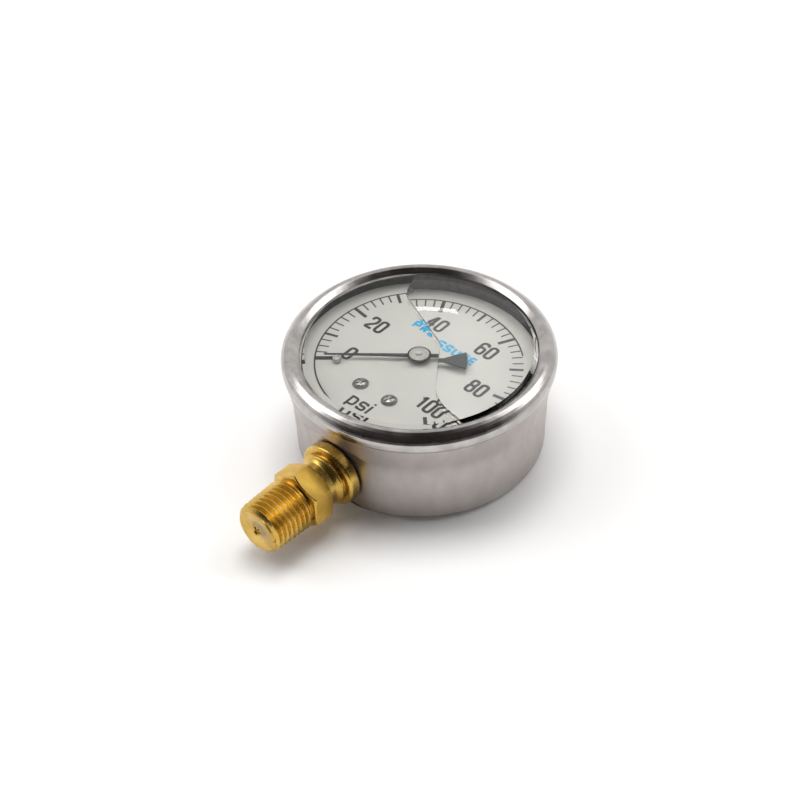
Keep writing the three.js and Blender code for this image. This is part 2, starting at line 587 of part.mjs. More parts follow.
function buildPlateScrew([x, y]) {
  const head = rod(x, y, 1.5, FRONT_PLATE_TOP, FRONT_PLATE_TOP + 0.7);
  const shank = rod(x, y, 0.6, FRONT_PLATE_Z - 1.7, FRONT_PLATE_TOP + 0.3);
  const slot = box(-2, 2, -0.22, 0.22, FRONT_PLATE_TOP + 0.35, FRONT_PLATE_TOP + 1);
  return cut(join(head, shank), slot.rotateZ(x + y).translate(x, y, 0));
}

// One tooth as four points, given its centre angle, radii and half widths.
function tooth(angle, root, tip, rootHalf, tipHalf) {
  const at = (radius, offset) => [
    radius * Math.cos(angle + offset / radius), radius * Math.sin(angle + offset / radius),
  ];
  return [at(root, -rootHalf), at(tip, -tipHalf), at(tip, tipHalf), at(root, rootHalf)];
}

function buildPinion() {
  const points = [];
  for (let i = 0; i < PINION_TEETH; i += 1) {
    const angle = rad(MESH_ANGLE + 180) + (i * 2 * Math.PI) / PINION_TEETH;
    const [root, tip] = [PINION_RADIUS - 0.3, PINION_RADIUS + 0.2];
    points.push(...tooth(angle, root, tip, 0.2, 0.07));
  }
  const gear = plate(outline(points), SECTOR_Z - 0.2, SECTOR_Z + SECTOR_THICKNESS + 0.2);
  const arbor = rod(0, 0, ARBOR_RADIUS, BLOCK_SEAT_Z + 0.2, CAP_TOP + 0.12);
  return join(gear, arbor);
}

function buildSector() {
  const pitch = (2 * Math.PI) / SECTOR_TEETH_FULL;
  const first = rad(MESH_ANGLE) - (SECTOR_TEETH_CUT - 1.5) * pitch;
  const points = [];
  for (let i = 0; i < SECTOR_TEETH_CUT; i += 1) {
    const [root, tip] = [SECTOR_RADIUS - 0.32, SECTOR_RADIUS + 0.2];
    points.push(...tooth(first + i * pitch, root, tip, 0.22, 0.08));
  }
  const last = first + (SECTOR_TEETH_CUT - 1) * pitch;
  const rim = SECTOR_RADIUS - 0.32;
  const edge = (angle, radius) => [radius * Math.cos(angle), radius * Math.sin(angle)];
  points.push(edge(last + 0.045, rim), edge(last + 0.045, rim - 1.6));
  points.push(edge(last - 0.1, rim - 2.1), edge(last - 0.1, 2.0));
  points.push(edge(first + 0.1, 2.0), edge(first + 0.1, rim - 2.1));
  points.push(edge(first - 0.045, rim - 1.6), edge(first - 0.045, rim));
  const fan = plate(outline(points), SECTOR_Z, SECTOR_Z + SECTOR_THICKNESS);
  const tail = rad(TAIL_ANGLE);
  const [tailX, tailY] = [TAIL_LENGTH * Math.cos(tail), TAIL_LENGTH * Math.sin(tail)];
  const hub = rod(0, 0, 2.2, SECTOR_Z, SECTOR_Z + SECTOR_THICKNESS);
  const arm = plate(strap(0, 0, tailX, tailY, 1.15), SECTOR_Z, SECTOR_Z + SECTOR_THICKNESS);
  const [z0, z1] = [SECTOR_Z - 1, LINK_Z + 1];
  const arborHole = rod(0, 0, 1.0 + FIT_CLEARANCE, z0, z1);
  const pinHole = rod(tailX, tailY, LINK_PIN_RADIUS + FIT_CLEARANCE, z0, z1);
  const solid = cut(join(fan, hub, arm), arborHole, pinHole);
  return solid.translate(SECTOR_X, SECTOR_Y, 0);
}

function buildSectorArbor() {
  const thick = rod(SECTOR_X, SECTOR_Y, 1.0, SECTOR_Z - 1.0, LINK_Z + 0.4);
  const pivots = rod(SECTOR_X, SECTOR_Y, ARBOR_RADIUS, BLOCK_SEAT_Z + 0.2, FRONT_PLATE_TOP - 0.1);
  return join(thick, pivots);
}

const TAIL_PIN_X = SECTOR_X + TAIL_LENGTH * Math.cos(rad(TAIL_ANGLE));
const TAIL_PIN_Y = SECTOR_Y + TAIL_LENGTH * Math.sin(rad(TAIL_ANGLE));

function buildLink() {
  const body = plate(
    strap(TAIL_PIN_X, TAIL_PIN_Y, LINK_PIN_X, LINK_PIN_Y, 1.35), LINK_Z, LINK_Z + LINK_THICKNESS,
  );
  const tailHole = rod(TAIL_PIN_X, TAIL_PIN_Y, LINK_PIN_RADIUS + FIT_CLEARANCE, LINK_Z - 1, LINK_Z + 2);
  const tipHole = rod(LINK_PIN_X, LINK_PIN_Y, LINK_HOLE_OPEN, LINK_Z - 1, LINK_Z + 2);
  return cut(body, tailHole, tipHole);
}

function buildLinkPin(x, y, foot) {
  const shank = rod(x, y, LINK_PIN_RADIUS, foot, LINK_Z + LINK_THICKNESS + 0.3);
  const head = LINK_Z + LINK_THICKNESS + 0.1;
  return join(shank, rod(x, y, LINK_PIN_RADIUS + 0.45, head, head + 0.3));
}

const STUD_ANGLE = 160;
const STUD_AT = 5.5;
const STUD_X = STUD_AT * Math.cos(rad(STUD_ANGLE));
const STUD_Y = STUD_AT * Math.sin(rad(STUD_ANGLE));

function buildHairspring() {
  const turns = 4.5;
  const [inner, outer, half] = [1.7, STUD_AT, 0.06];
  const count = 54;
  const end = rad(STUD_ANGLE + 3);
  const at = (i, offset) => {
    const t = i / count;
    const radius = inner + (outer - inner) * t + offset;
    const angle = end - 2 * Math.PI * turns * (1 - t);
    return [radius * Math.cos(angle), radius * Math.sin(angle)];
  };
  const points = [];
  for (let i = 0; i <= count; i += 1) points.push(at(i, half));
  for (let i = count; i >= 0; i -= 1) points.push(at(i, -half));
  return plate(outline(points), SPRING_Z, SPRING_Z + SPRING_HEIGHT);
}

function buildCollet() {
  const body = rod(0, 0, 1.5, SPRING_Z - 0.2, SPRING_Z + SPRING_HEIGHT + 0.2);
  return cut(body, rod(0, 0, ARBOR_RADIUS + 0.05, SPRING_Z - 1, SPRING_Z + 2));
}

function buildStud() {
  const post = rod(STUD_X, STUD_Y, 0.6, BACK_PLATE_TOP, SPRING_Z + SPRING_HEIGHT + 0.3);
  const foot = rod(STUD_X, STUD_Y, 0.4, BLOCK_SEAT_Z + 0.1, BACK_PLATE_TOP + 0.3);
  const slot = box(-0.18, 0.18, -1, 1, SPRING_Z - 0.1, SPRING_Z + SPRING_HEIGHT + 1);
  return cut(join(post, foot), slot.rotateZ(rad(STUD_ANGLE)).translate(STUD_X, STUD_Y, 0));
}

// ---- dial and pointer ------------------------------------------------------------------------
function buildDialPost(x) {
  const radius = POST_ACROSS / 2 / Math.cos(Math.PI / 6);
  const column = rod(x, POST_Y, radius, BACK_PLATE_TOP, DIAL_Z, 6);
  const stud = rod(x, POST_Y, SCREW_RADIUS, BLOCK_SEAT_Z - 2.6, BACK_PLATE_TOP + 0.5);
  const hole = rod(x, POST_Y, SCREW_RADIUS + FIT_CLEARANCE, DIAL_Z - 2.6, DIAL_Z + 1);
  return cut(join(column, stud), hole);
}

function buildDial() {
  const body = rod(0, 0, DIAL_RADIUS, DIAL_Z, DIAL_TOP, ROUND);
  const [z0, z1] = [DIAL_Z - 1, DIAL_TOP + 1];
  const [pinX, pinY] = stopPinPlace();
  return cut(
    body, rod(0, 0, 2.0, z0, z1, 28),
    rod(-POST_X, POST_Y, SCREW_RADIUS + 0.2, z0, z1), rod(POST_X, POST_Y, SCREW_RADIUS + 0.2, z0, z1),
    rod(pinX, pinY, 0.6 + FIT_CLEARANCE, z0, z1),
  );
}

function buildDialScrew(x) {
  const head = turned([
    [0, DIAL_TOP], [SCREW_HEAD_RADIUS, DIAL_TOP], [SCREW_HEAD_RADIUS, DIAL_TOP + 0.5],
    [SCREW_HEAD_RADIUS - 0.5, DIAL_TOP + 1.05], [SCREW_HEAD_RADIUS - 1.3, DIAL_TOP + SCREW_HEAD_HEIGHT],
    [0, DIAL_TOP + SCREW_HEAD_HEIGHT],
  ], 24);
  const shank = rod(0, 0, SCREW_RADIUS, DIAL_Z - 2.4, DIAL_TOP + 0.4);
  const [z0, z1] = [DIAL_TOP + 0.6, DIAL_TOP + 2];
  const crossX = box(-1.25, 1.25, -0.27, 0.27, z0, z1);
  const crossY = box(-0.27, 0.27, -1.25, 1.25, z0, z1);
  return cut(join(head, shank), crossX, crossY).rotateZ(rad(8 * x)).translate(x, POST_Y, 0);
}

function stopPinPlace() {
  const angle = rad(STOP_PIN_ANGLE);
  return [STOP_PIN_AT * Math.sin(angle), STOP_PIN_AT * Math.cos(angle)];
}

function buildStopPin() {
  const [x, y] = stopPinPlace();
  const pin = rod(x, y, STOP_PIN_RADIUS, DIAL_TOP, DIAL_TOP + STOP_PIN_HEIGHT, 24);
  return join(pin, rod(x, y, 0.6, DIAL_Z - 0.3, DIAL_TOP + 0.5));
}

// The pointer is drawn towards 12 o'clock; its group turns it to the rest angle.
function buildPointer() {
  const fanAngle = rad(14.9);
  const [tailNeck, tailEnd] = [5.9, 12.0];
  const points = [[-0.55, 1.5], [-0.55, -tailNeck]];
  points.push([-tailEnd * Math.sin(fanAngle), -tailEnd * Math.cos(fanAngle)]);
  for (let i = 1; i < 6; i += 1) {
    const angle = -fanAngle + (2 * fanAngle * i) / 6;
    points.push([tailEnd * Math.sin(angle), -tailEnd * Math.cos(angle)]);
  }
  points.push([tailEnd * Math.sin(fanAngle), -tailEnd * Math.cos(fanAngle)], [0.55, -tailNeck]);
  points.push([0.55, 1.5], [0.22, POINTER_TIP - 0.2], [0, POINTER_TIP], [-0.22, POINTER_TIP - 0.2]);
  const blade = plate(outline(points), POINTER_Z, POINTER_TOP);
  const boss = rod(0, 0, HUB_RADIUS, POINTER_Z, POINTER_TOP, 32);
  return cut(join(blade, boss), rod(0, 0, 1.6, POINTER_Z - 1, POINTER_TOP + 1));
}

function buildPointerHub() {
  const ring = rod(0, 0, HUB_RADIUS, POINTER_TOP, HUB_TOP, 32);
  const boss = rod(0, 0, 1.5, POINTER_Z - 0.4, HUB_TOP - 0.2);
  return cut(join(ring, boss), rod(0, 0, ARBOR_RADIUS + FIT_CLEARANCE, POINTER_Z - 1, HUB_TOP + 1));
}

function buildPointerCap() {
  const body = rod(0, 0, CAP_RADIUS, HUB_TOP, CAP_TOP, 32);
  return cut(body, rod(0, 0, ARBOR_RADIUS + FIT_CLEARANCE, HUB_TOP - 1, CAP_TOP + 1));
}

// ---- the assembly ----------------------------------------------------------------------------
const gauge = new THREE.Group();
gauge.add(
  node('case', buildCase(), STEEL),
  node('bezel_ring', buildBezel(), BRIGHT_STEEL),
  node('window', buildWindow(), CLEAR),
  node('window_gasket', buildGasket(), RUBBER),
  node('fill_plug', buildFillPlug(), RUBBER),
  node('socket', buildSocket(), BRASS),
  node('restrictor', buildRestrictor(), BRASS),
  node('socket_seal', buildSeal(), RUBBER),
  node('socket_clip', buildClip(), STEEL),
  node('bourdon_tube', buildTube(), TUBE_BRONZE),
  node('tube_tip', buildTip(), BRASS),
);

const movement = new THREE.Group();
movement.add(
  node('back_plate', buildBackPlate(), BRASS),
  node('front_plate', buildFrontPlate(), BRASS),
  ...PILLARS.map((place, i) => node(`pillar_${i + 1}`, buildPillar(place), BRASS)),
  ...PILLARS.map((place, i) => node(`plate_screw_${i + 1}`, buildPlateScrew(place), NICKEL)),
  node('sector_gear', buildSector(), BRASS),
  node('sector_arbor', buildSectorArbor(), NICKEL),
  node('link', buildLink(), BRASS),
  node('link_pin_tail', buildLinkPin(TAIL_PIN_X, TAIL_PIN_Y, SECTOR_Z), NICKEL),
  node('link_pin_tip', buildLinkPin(LINK_PIN_X, LINK_PIN_Y, SECTOR_Z + 0.2), NICKEL),
  node('pinion', buildPinion(), NICKEL),
  node('hairspring', buildHairspring(), TUBE_BRONZE),
  node('hairspring_collet', buildCollet(), BRASS),
  node('hairspring_stud', buildStud(), BRASS),
);
gauge.add(movement);

gauge.add(
  node('dial_post_left', buildDialPost(-POST_X), BRASS),
  node('dial_post_right', buildDialPost(POST_X), BRASS),
  node('dial', buildDial(), DIAL_WHITE),
  node('dial_screw_left', buildDialScrew(-POST_X), NICKEL),
  node('dial_screw_right', buildDialScrew(POST_X), NICKEL),
  node('zero_stop_pin', buildStopPin(), BLACK_PAINT),
);

const pointerGroup = new THREE.Group();
pointerGroup.rotation.z = -rad(POINTER_REST);
pointerGroup.add(
  node('pointer', buildPointer(), BLACK_PAINT),
  node('pointer_hub', buildPointerHub(), BLACK_PAINT),
  node('pointer_cap', buildPointerCap(), NICKEL),
);
gauge.add(pointerGroup);

export default gauge;
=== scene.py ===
import math
import bpy
from mathutils import Matrix, Vector


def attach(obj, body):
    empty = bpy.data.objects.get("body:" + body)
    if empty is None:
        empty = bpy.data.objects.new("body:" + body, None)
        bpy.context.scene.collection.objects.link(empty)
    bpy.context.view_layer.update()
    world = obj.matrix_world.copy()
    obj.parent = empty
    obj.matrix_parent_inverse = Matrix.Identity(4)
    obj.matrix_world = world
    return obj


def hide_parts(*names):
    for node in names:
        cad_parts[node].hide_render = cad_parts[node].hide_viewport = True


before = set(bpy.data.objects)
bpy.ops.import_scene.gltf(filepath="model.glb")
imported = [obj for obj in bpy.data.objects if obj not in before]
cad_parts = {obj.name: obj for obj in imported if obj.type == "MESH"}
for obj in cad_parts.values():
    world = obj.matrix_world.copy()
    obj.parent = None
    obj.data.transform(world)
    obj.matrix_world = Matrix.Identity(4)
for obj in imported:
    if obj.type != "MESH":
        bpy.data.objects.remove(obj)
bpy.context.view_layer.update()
MM = 0.001


# ---- Camera, floor and lamps -----------------------------------------------------------------
# The gauge lies on its back on a pale floor, under a large soft lamp overhead and two broad
# side lamps, and is seen from its lower right with a short telephoto lens.
def clear():
    if bpy.context.object and bpy.context.object.mode != "OBJECT":
        bpy.ops.object.mode_set(mode="OBJECT")
    bpy.ops.object.select_all(action="DESELECT")


class Socket:
    """A shader socket that does sums by adding Math nodes."""

    def __init__(self, finish, socket):
        self.finish, self.socket = finish, socket

    def math(self, operation, one, two):
        return self.finish.node("ShaderNodeMath", {"operation": operation}, {0: one, 1: two})

    def __add__(self, other):
        return self.math("ADD", self, other)

    def __radd__(self, other):
        return self.math("ADD", other, self)

    def __mul__(self, other):
        return self.math("MULTIPLY", self, other)

    def __rmul__(self, other):
        return self.math("MULTIPLY", other, self)


class Finish:
    """A material and the nodes that make its surface."""

    def __init__(self, name):
        self.material = bpy.data.materials.new(name)
        self.material.use_nodes = True
        self.tree = self.material.node_tree
        self.tree.nodes.clear()
        self.output = self.tree.nodes.new("ShaderNodeOutputMaterial")

    def node(self, kind, settings=None, sockets=None, out=0):
        made = self.tree.nodes.new(kind)
        for key, value in (settings or {}).items():
            if key == "stops":
                ramp = made.color_ramp
                while len(ramp.elements) < len(value):
                    ramp.elements.new(0.5)
                for element, (place, colour) in zip(ramp.elements, value):
                    element.position = place
                    element.color = (*colour, 1) if len(colour) == 3 else colour
            else:
                setattr(made, key, value)
        for key, value in (sockets or {}).items():
            if isinstance(value, Socket):
                self.tree.links.new(value.socket, made.inputs[key])
            elif isinstance(value, (tuple, list)) and len(value) == 3 and (
                    made.inputs[key].type == "RGBA"):
                made.inputs[key].default_value = (*value, 1)
            else:
                made.inputs[key].default_value = value
        return Socket(self, made.outputs[out])

    def place(self):
        return self.node("ShaderNodeTexCoord", out="Object")

    def stretched(self, scale, turn=(0, 0, 0)):
        sockets = {"Vector": self.place(), "Scale": scale, "Rotation": turn}
        return self.node("ShaderNodeMapping", {}, sockets)

    def noise(self, vector, scale, detail=3.0, rough=0.5):
        return self.node("ShaderNodeTexNoise", {}, {
            "Vector": vector, "Scale": scale, "Detail": detail, "Roughness": rough,
        })

    def ramp(self, value, *stops):
        return self.node("ShaderNodeValToRGB", {"stops": stops}, {"Fac": value})

    def bump(self, height, strength, distance):
        return self.node("ShaderNodeBump", {}, {
            "Height": height, "Strength": strength, "Distance": distance,
        })

    def surface(self, **sockets):
        named = {key.replace("_", " "): value for key, value in sockets.items()}
        shader = self.node("ShaderNodeBsdfPrincipled", {}, named)
        self.show(shader)
        return shader

    def show(self, shader):
        self.tree.links.new(shader.socket, self.output.inputs["Surface"])


def wear(piece, finish):
    piece.data.materials.clear()
    piece.data.materials.append(finish.material)


clear()
LOOK_AT = Vector((0, 0, 16 * MM))
AZIMUTH, ELEVATION, ROLL = math.radians(42.5), math.radians(41.7), math.radians(-1.52)
DISTANCE = 421.5 * MM
backwards = Vector((
    math.sin(AZIMUTH) * math.cos(ELEVATION), -math.cos(AZIMUTH) * math.cos(ELEVATION),
    math.sin(ELEVATION),
))
level = Vector((math.cos(AZIMUTH), math.sin(AZIMUTH), 0))
upright = backwards.cross(level)
sideways = math.cos(ROLL) * level + math.sin(ROLL) * upright
upwards = math.cos(ROLL) * upright - math.sin(ROLL) * level
bpy.ops.object.camera_add(location=LOOK_AT + DISTANCE * backwards)
camera = bpy.context.object
camera.rotation_euler = Matrix((sideways, upwards, backwards)).transposed().to_euler()
camera.data.lens = 75.4
camera.data.sensor_width = 36
camera.data.shift_x = -0.025
camera.data.shift_y = -0.0188
camera.data.clip_start, camera.data.clip_end = 0.01, 20
bpy.context.scene.camera = camera

floor_finish = Finish("pale_floor")
floor_grain = floor_finish.noise(floor_finish.place(), 3.0)
floor_finish.surface(
    Base_Color=floor_finish.ramp(floor_grain, (0.3, (0.9, 0.9, 0.9)), (0.7, (0.93, 0.93, 0.93))),
    Roughness=0.9,
)
clear()
bpy.ops.mesh.primitive_plane_add(size=4, location=(0, 0, -0.0002))
floor = bpy.context.object
floor.name = "floor"
wear(floor, floor_finish)

# The room is pale behind and beside the gauge and dark on the side it is seen from.
bpy.context.scene.view_settings.view_transform = "Standard"
world = bpy.data.worlds.new("studio_room")
bpy.context.scene.world = world
world.use_nodes = True
room, link = world.node_tree.nodes, world.node_tree.links.new
direction, facing, walls = (
    room.new("ShaderNodeTexCoord"), room.new("ShaderNodeVectorMath"), room.new("ShaderNodeValToRGB"),
)
facing.operation = "DOT_PRODUCT"
facing.inputs[1].default_value = (math.sin(AZIMUTH), -math.cos(AZIMUTH), 0.28)
link(direction.outputs["Generated"], facing.inputs[0])
link(facing.outputs["Value"], walls.inputs["Fac"])
link(walls.outputs["Color"], room["Background"].inputs["Color"])
walls.color_ramp.elements[0].color = (1.0, 0.985, 0.97, 1)
walls.color_ramp.elements[0].position = 0.1
walls.color_ramp.elements[1].color = (0.035, 0.028, 0.026, 1)
walls.color_ramp.elements[1].position = 0.5
room["Background"].inputs["Strength"].default_value = 0.82


def soft_lamp(name, azimuth, elevation, distance, width, height, power, glossy, colour=(1, 1, 1)):
    a, e = math.radians(azimuth), math.radians(elevation)
    out = Vector((math.sin(a) * math.cos(e), -math.cos(a) * math.cos(e), math.sin(e)))
    bpy.ops.object.light_add(type="AREA", location=LOOK_AT + distance * out)
    lamp = bpy.context.object
    lamp.name = name
    lamp.rotation_mode = "QUATERNION"
    lamp.rotation_quaternion = out.to_track_quat("Z", "Y")
    lamp.data.shape = "RECTANGLE"
    lamp.data.size, lamp.data.size_y = width, height
    lamp.data.energy = power
    lamp.data.color = colour
    lamp.visible_glossy = glossy
    return lamp


soft_lamp("lamp_overhead", 222, 78, 0.9, 0.46, 0.42, 4.2, False, (1, 0.985, 0.97))
soft_lamp("lamp_left", -62, 44, 0.9, 0.4, 0.6, 1.9, True)
soft_lamp("lamp_right", 148, 44, 0.9, 0.4, 0.6, 1.7, True)
soft_lamp("lamp_front", 36, 24, 1.1, 0.5, 0.5, 1.6, False)


# ---- Case ------------------------------------------------------------------------------------
# A cup drawn from stainless sheet with a satin outside. Its wall flares into a lip that carries
# the window's seal, and a flat pad is pressed in at 6 o'clock, where the brass socket comes out.
def eased(points, closed=False):
    """A profile's points, each with its corner rounded where a third number gives a radius."""
    made = []
    for i, point in enumerate(points):
        p = Vector(point[:2])
        ends = not closed and i in (0, len(points) - 1)
        if len(point) < 3 or ends:
            made.append(tuple(p))
            continue
        a, b = Vector(points[i - 1][:2]) - p, Vector(points[(i + 1) % len(points)][:2]) - p
        half = a.angle(b) / 2
        reach = min(point[2] / math.tan(half), 0.48 * a.length, 0.48 * b.length)
        start, stop = p + a.normalized() * reach, p + b.normalized() * reach
        for k in range(7):
            t = k / 6
            made.append(tuple((1 - t) ** 2 * start + 2 * t * (1 - t) * p + t * t * stop))
    return made + made[:1] if closed else made


def begin(name, x, y, z):
    """A new mesh of one loose point, in edit mode."""
    clear()
    bpy.ops.mesh.primitive_plane_add(size=0.001)
    piece = bpy.context.object
    piece.name = piece.data.name = name
    bpy.ops.object.mode_set(mode="EDIT")
    bpy.ops.mesh.select_all(action="SELECT")
    bpy.ops.mesh.merge(type="CENTER")
    bpy.ops.transform.translate(value=(x * MM, y * MM, z * MM))
    return piece


def draw_on(x, y, z):
    bpy.ops.mesh.extrude_vertices_move(TRANSFORM_OT_translate={"value": (x * MM, y * MM, z * MM)})


def close_up(piece, angle=30):
    bpy.ops.mesh.select_all(action="SELECT")
    bpy.ops.mesh.remove_doubles(threshold=1e-7)
    bpy.ops.mesh.normals_make_consistent(inside=False)
    bpy.ops.object.mode_set(mode="OBJECT")
    bpy.ops.object.shade_smooth_by_angle(angle=math.radians(angle))
    return piece


def spun(name, profile, steps=128, about="Z", axis_z=0.0, angle=30):
    """A profile of radius and height in millimetres, drawn point by point and spun round."""
    upright_axis = about == "Z"
    r, h = profile[0]
    piece = begin(name, r, 0 if upright_axis else h, h if upright_axis else axis_z)
    for (r0, h0), (r1, h1) in zip(profile, profile[1:]):
        draw_on(r1 - r0, 0 if upright_axis else h1 - h0, h1 - h0 if upright_axis else 0)
    bpy.ops.mesh.select_all(action="SELECT")
    axis = (0, 0, 1) if upright_axis else (0, 1, 0)
    bpy.ops.mesh.spin(
        steps=steps, angle=2 * math.pi, center=(0, 0, axis_z * MM), axis=axis,
    )
    return close_up(piece, angle)


def shaped(piece, tool, operation="DIFFERENCE", keep_tool=False):
    """A boolean with another piece, applied."""
    clear()
    bpy.context.view_layer.objects.active = piece
    piece.select_set(True)
    modifier = piece.modifiers.new("shape", "BOOLEAN")
    modifier.operation, modifier.object, modifier.solver = operation, tool, "EXACT"
    bpy.ops.object.modifier_apply(modifier=modifier.name)
    if not keep_tool:
        bpy.data.objects.remove(tool)
    return piece


def fastened(piece, finish, body, slot, *nodes):
    wear(piece, finish)
    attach(piece, body)
    if nodes:
        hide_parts(*nodes)
    return piece


CASE_RADIUS, CASE_WALL, WALL_BASE = 31.8, 0.9, 4.0
DRAFT = 0.0346
FLARE_SLOPE, FLARE_BASE, FLARE_BEND, FLARE_TOP = 0.173, 15.4, 3.2, 24.75
GROOVE_RADIUS, LIP_RADIUS, LIP_BASE = 32.95, 33.35, 25.3
SEAT_INNER, SEAT_TOP = 31.6, 25.75
PAD_FLAT, PAD_EDGE, PAD_SLOPE = 30.7, 18.15, 0.85
STEM_Z, PLUG_Z = 9.6, 10.5


def wall_radius(z):
    """The drum's slight draft, and the flare that bends outwards from it near the lip."""
    above = max(0.0, z - FLARE_BASE)
    bent = min(above, FLARE_BEND)
    flare = bent * bent / (2 * FLARE_BEND) + above - bent
    return CASE_RADIUS + DRAFT * (z - WALL_BASE) + FLARE_SLOPE * flare


outer_wall = [
    (0, 0), (CASE_RADIUS - 1.3, 0, 1.0), (CASE_RADIUS - 0.05, 1.0, 1.6),
    *[(wall_radius(z), z) for z in (WALL_BASE, 7, 10, 13, 15.5, 16.8, 18, 19, 20, 21, 22, 23, 24)],
    (wall_radius(FLARE_TOP), FLARE_TOP, 0.1), (GROOVE_RADIUS, FLARE_TOP), (GROOVE_RADIUS, LIP_BASE),
    (LIP_RADIUS, LIP_BASE), (LIP_RADIUS, SEAT_TOP), (SEAT_INNER, SEAT_TOP, 0.2),
    (31.55, 22.0), (31.5, 20.0), (31.4, 18.0), (31.3, 15.0), (31.1, 8.0),
    (CASE_RADIUS - CASE_WALL, 2.2, 1.2), (CASE_RADIUS - 2.4, CASE_WALL, 1.0), (0, CASE_WALL),
]
case = spun("case_shell", eased(outer_wall), steps=288)
for vertex in case.data.vertices:
    x, y, z = vertex.co / MM
    radius = math.hypot(x, y)
    inner = radius < 31.65 and z > CASE_WALL - 0.05 and radius > 29.2
    flat = PAD_FLAT - (CASE_WALL if inner or (z > 0.5 and radius < 31.0) else 0)
    limit = flat + max(0.0, z - PAD_EDGE) * PAD_SLOPE
    if -y > limit and z < 24.0:
        vertex.co.y = -limit * MM
case.data.update()


def block(name, low, high, rounding=0.0):
    """A box between two corners in millimetres, with its edges rounded."""
    clear()
    middle = [(a + b) / 2 * MM for a, b in zip(low, high)]
    sides = [b - a for a, b in zip(low, high)]
    bpy.ops.mesh.primitive_cube_add(size=MM, location=middle, scale=sides)
    piece = bpy.context.object
    piece.name = piece.data.name = name
    bpy.ops.object.transform_apply(location=True, rotation=True, scale=True)
    if rounding:
        edges = piece.modifiers.new("edges", "BEVEL")
        edges.width, edges.segments = rounding * MM, 3
        bpy.ops.object.modifier_apply(modifier=edges.name)
        bpy.ops.object.shade_smooth_by_angle(angle=math.radians(30))
    return piece


BLOCK_X, BLOCK_Z = 6.9, 3.8
shaped(case, block(
    "pad_slot", (-BLOCK_X - 0.25, -34, STEM_Z - BLOCK_Z - 0.25),
    (BLOCK_X + 0.25, -25, STEM_Z + BLOCK_Z + 0.25), 0.9,
))
clear()
bpy.ops.mesh.primitive_cylinder_add(
    vertices=48, radius=3.5 * MM, depth=6 * MM, location=(0, 32 * MM, PLUG_Z * MM),
    rotation=(math.pi / 2, 0, 0),
)
shaped(case, bpy.context.object)
bpy.ops.object.shade_smooth_by_angle(angle=math.radians(13))

satin_steel = Finish("satin_drawn_steel")
drawn = satin_steel.noise(satin_steel.stretched((1, 1, 0.12)), 900.0, 4.0, 0.6)
ring_lines = satin_steel.noise(satin_steel.stretched((0.15, 0.15, 1)), 2600.0, 2.0, 0.5)
clouds = satin_steel.noise(satin_steel.stretched((1, 1, 0.5)), 90.0, 3.0, 0.6)
satin_steel.surface(
    Base_Color=satin_steel.ramp(
        clouds, (0.3, (0.38, 0.345, 0.335)), (0.55, (0.49, 0.452, 0.435)),
        (0.75, (0.57, 0.535, 0.515)),
    ),
    Metallic=1.0,
    Roughness=0.3 + 0.1 * drawn + 0.05 * clouds,
    Normal=satin_steel.bump(drawn * 0.5 + ring_lines * 0.5, 0.12, 0.00004),
)
fastened(case, satin_steel, "gauge_body", "case_steel", "case")
# Painted shade: the case's inner wall below the window gets a near-black steel colour. It stands in
# for the shade and dark reflections that the wall shows through the liquid.
painted_shade_steel = Finish("inner_wall_painted_shade")
scale = painted_shade_steel.noise(painted_shade_steel.place(), 700.0, 3.0)
painted_shade_steel.surface(
    Base_Color=painted_shade_steel.ramp(scale, (0.3, (0.05, 0.042, 0.05)), (0.8, (0.12, 0.105, 0.115))),
    Metallic=1.0, Roughness=0.35 + 0.15 * scale,
)
case.data.materials.append(painted_shade_steel.material)
# The inner wall's faces take the painted shade material.
for face in case.data.polygons:
    x, y, z = face.center / MM
    if 1.5 < z < SEAT_TOP - 0.02 and math.hypot(x, y) < 31.62 and face.normal.xy.dot((x, y)) < 0:
        face.material_index = 1


# ---- Bezel ring ------------------------------------------------------------------------------
# A polished stainless ring rolled from thin sheet. Its hem is crimped into the groove under the
# case's lip, and its inner edge presses the window on its seal.
BEZEL_INNER = 29.45
bezel = spun("bezel_rolled_ring", eased([
    (33.05, 24.82, 0.1), (33.98, 24.82, 0.25), (34.16, 25.5, 0.8), (34.28, 26.5, 0.8),
    (34.18, 27.3, 0.9), (33.85, 28.0, 0.9), (33.3, 28.62, 0.9), (32.65, 29.15, 0.9),
    (31.95, 29.6, 0.6), (31.45, 29.78, 0.5), (30.8, 29.5, 0.9), (BEZEL_INNER + 0.1, 28.5, 0.2),
    (BEZEL_INNER, 27.68, 0.1), (BEZEL_INNER + 0.6, 27.68, 0.1), (30.9, 28.85, 0.4),
    (31.45, 29.1, 0.3), (31.9, 28.95, 0.4), (32.6, 28.5, 0.4), (33.25, 27.85, 0.4),
    (33.6, 27.2, 0.4), (33.62, 26.2, 0.4), (33.5, 25.3, 0.2), (33.05, 25.25, 0.1),
], closed=True), steps=288, angle=40)
polished_steel = Finish("polished_rolled_steel")
mottle = polished_steel.noise(polished_steel.place(), 260.0, 4.0, 0.6)
rolling = polished_steel.noise(polished_steel.stretched((0.2, 0.2, 1)), 1500.0, 2.0)
polished_steel.surface(
    Base_Color=polished_steel.ramp(
        mottle, (0.35, (0.42, 0.40, 0.39)), (0.6, (0.53, 0.51, 0.50)), (0.8, (0.60, 0.585, 0.57)),
    ),
    Metallic=1.0,
    Roughness=0.15 + 0.14 * mottle,
    Normal=polished_steel.bump(mottle * 0.7 + rolling * 0.3, 0.08, 0.00005),
)
fastened(bezel, polished_steel, "gauge_body", "bezel_steel", "bezel_ring")


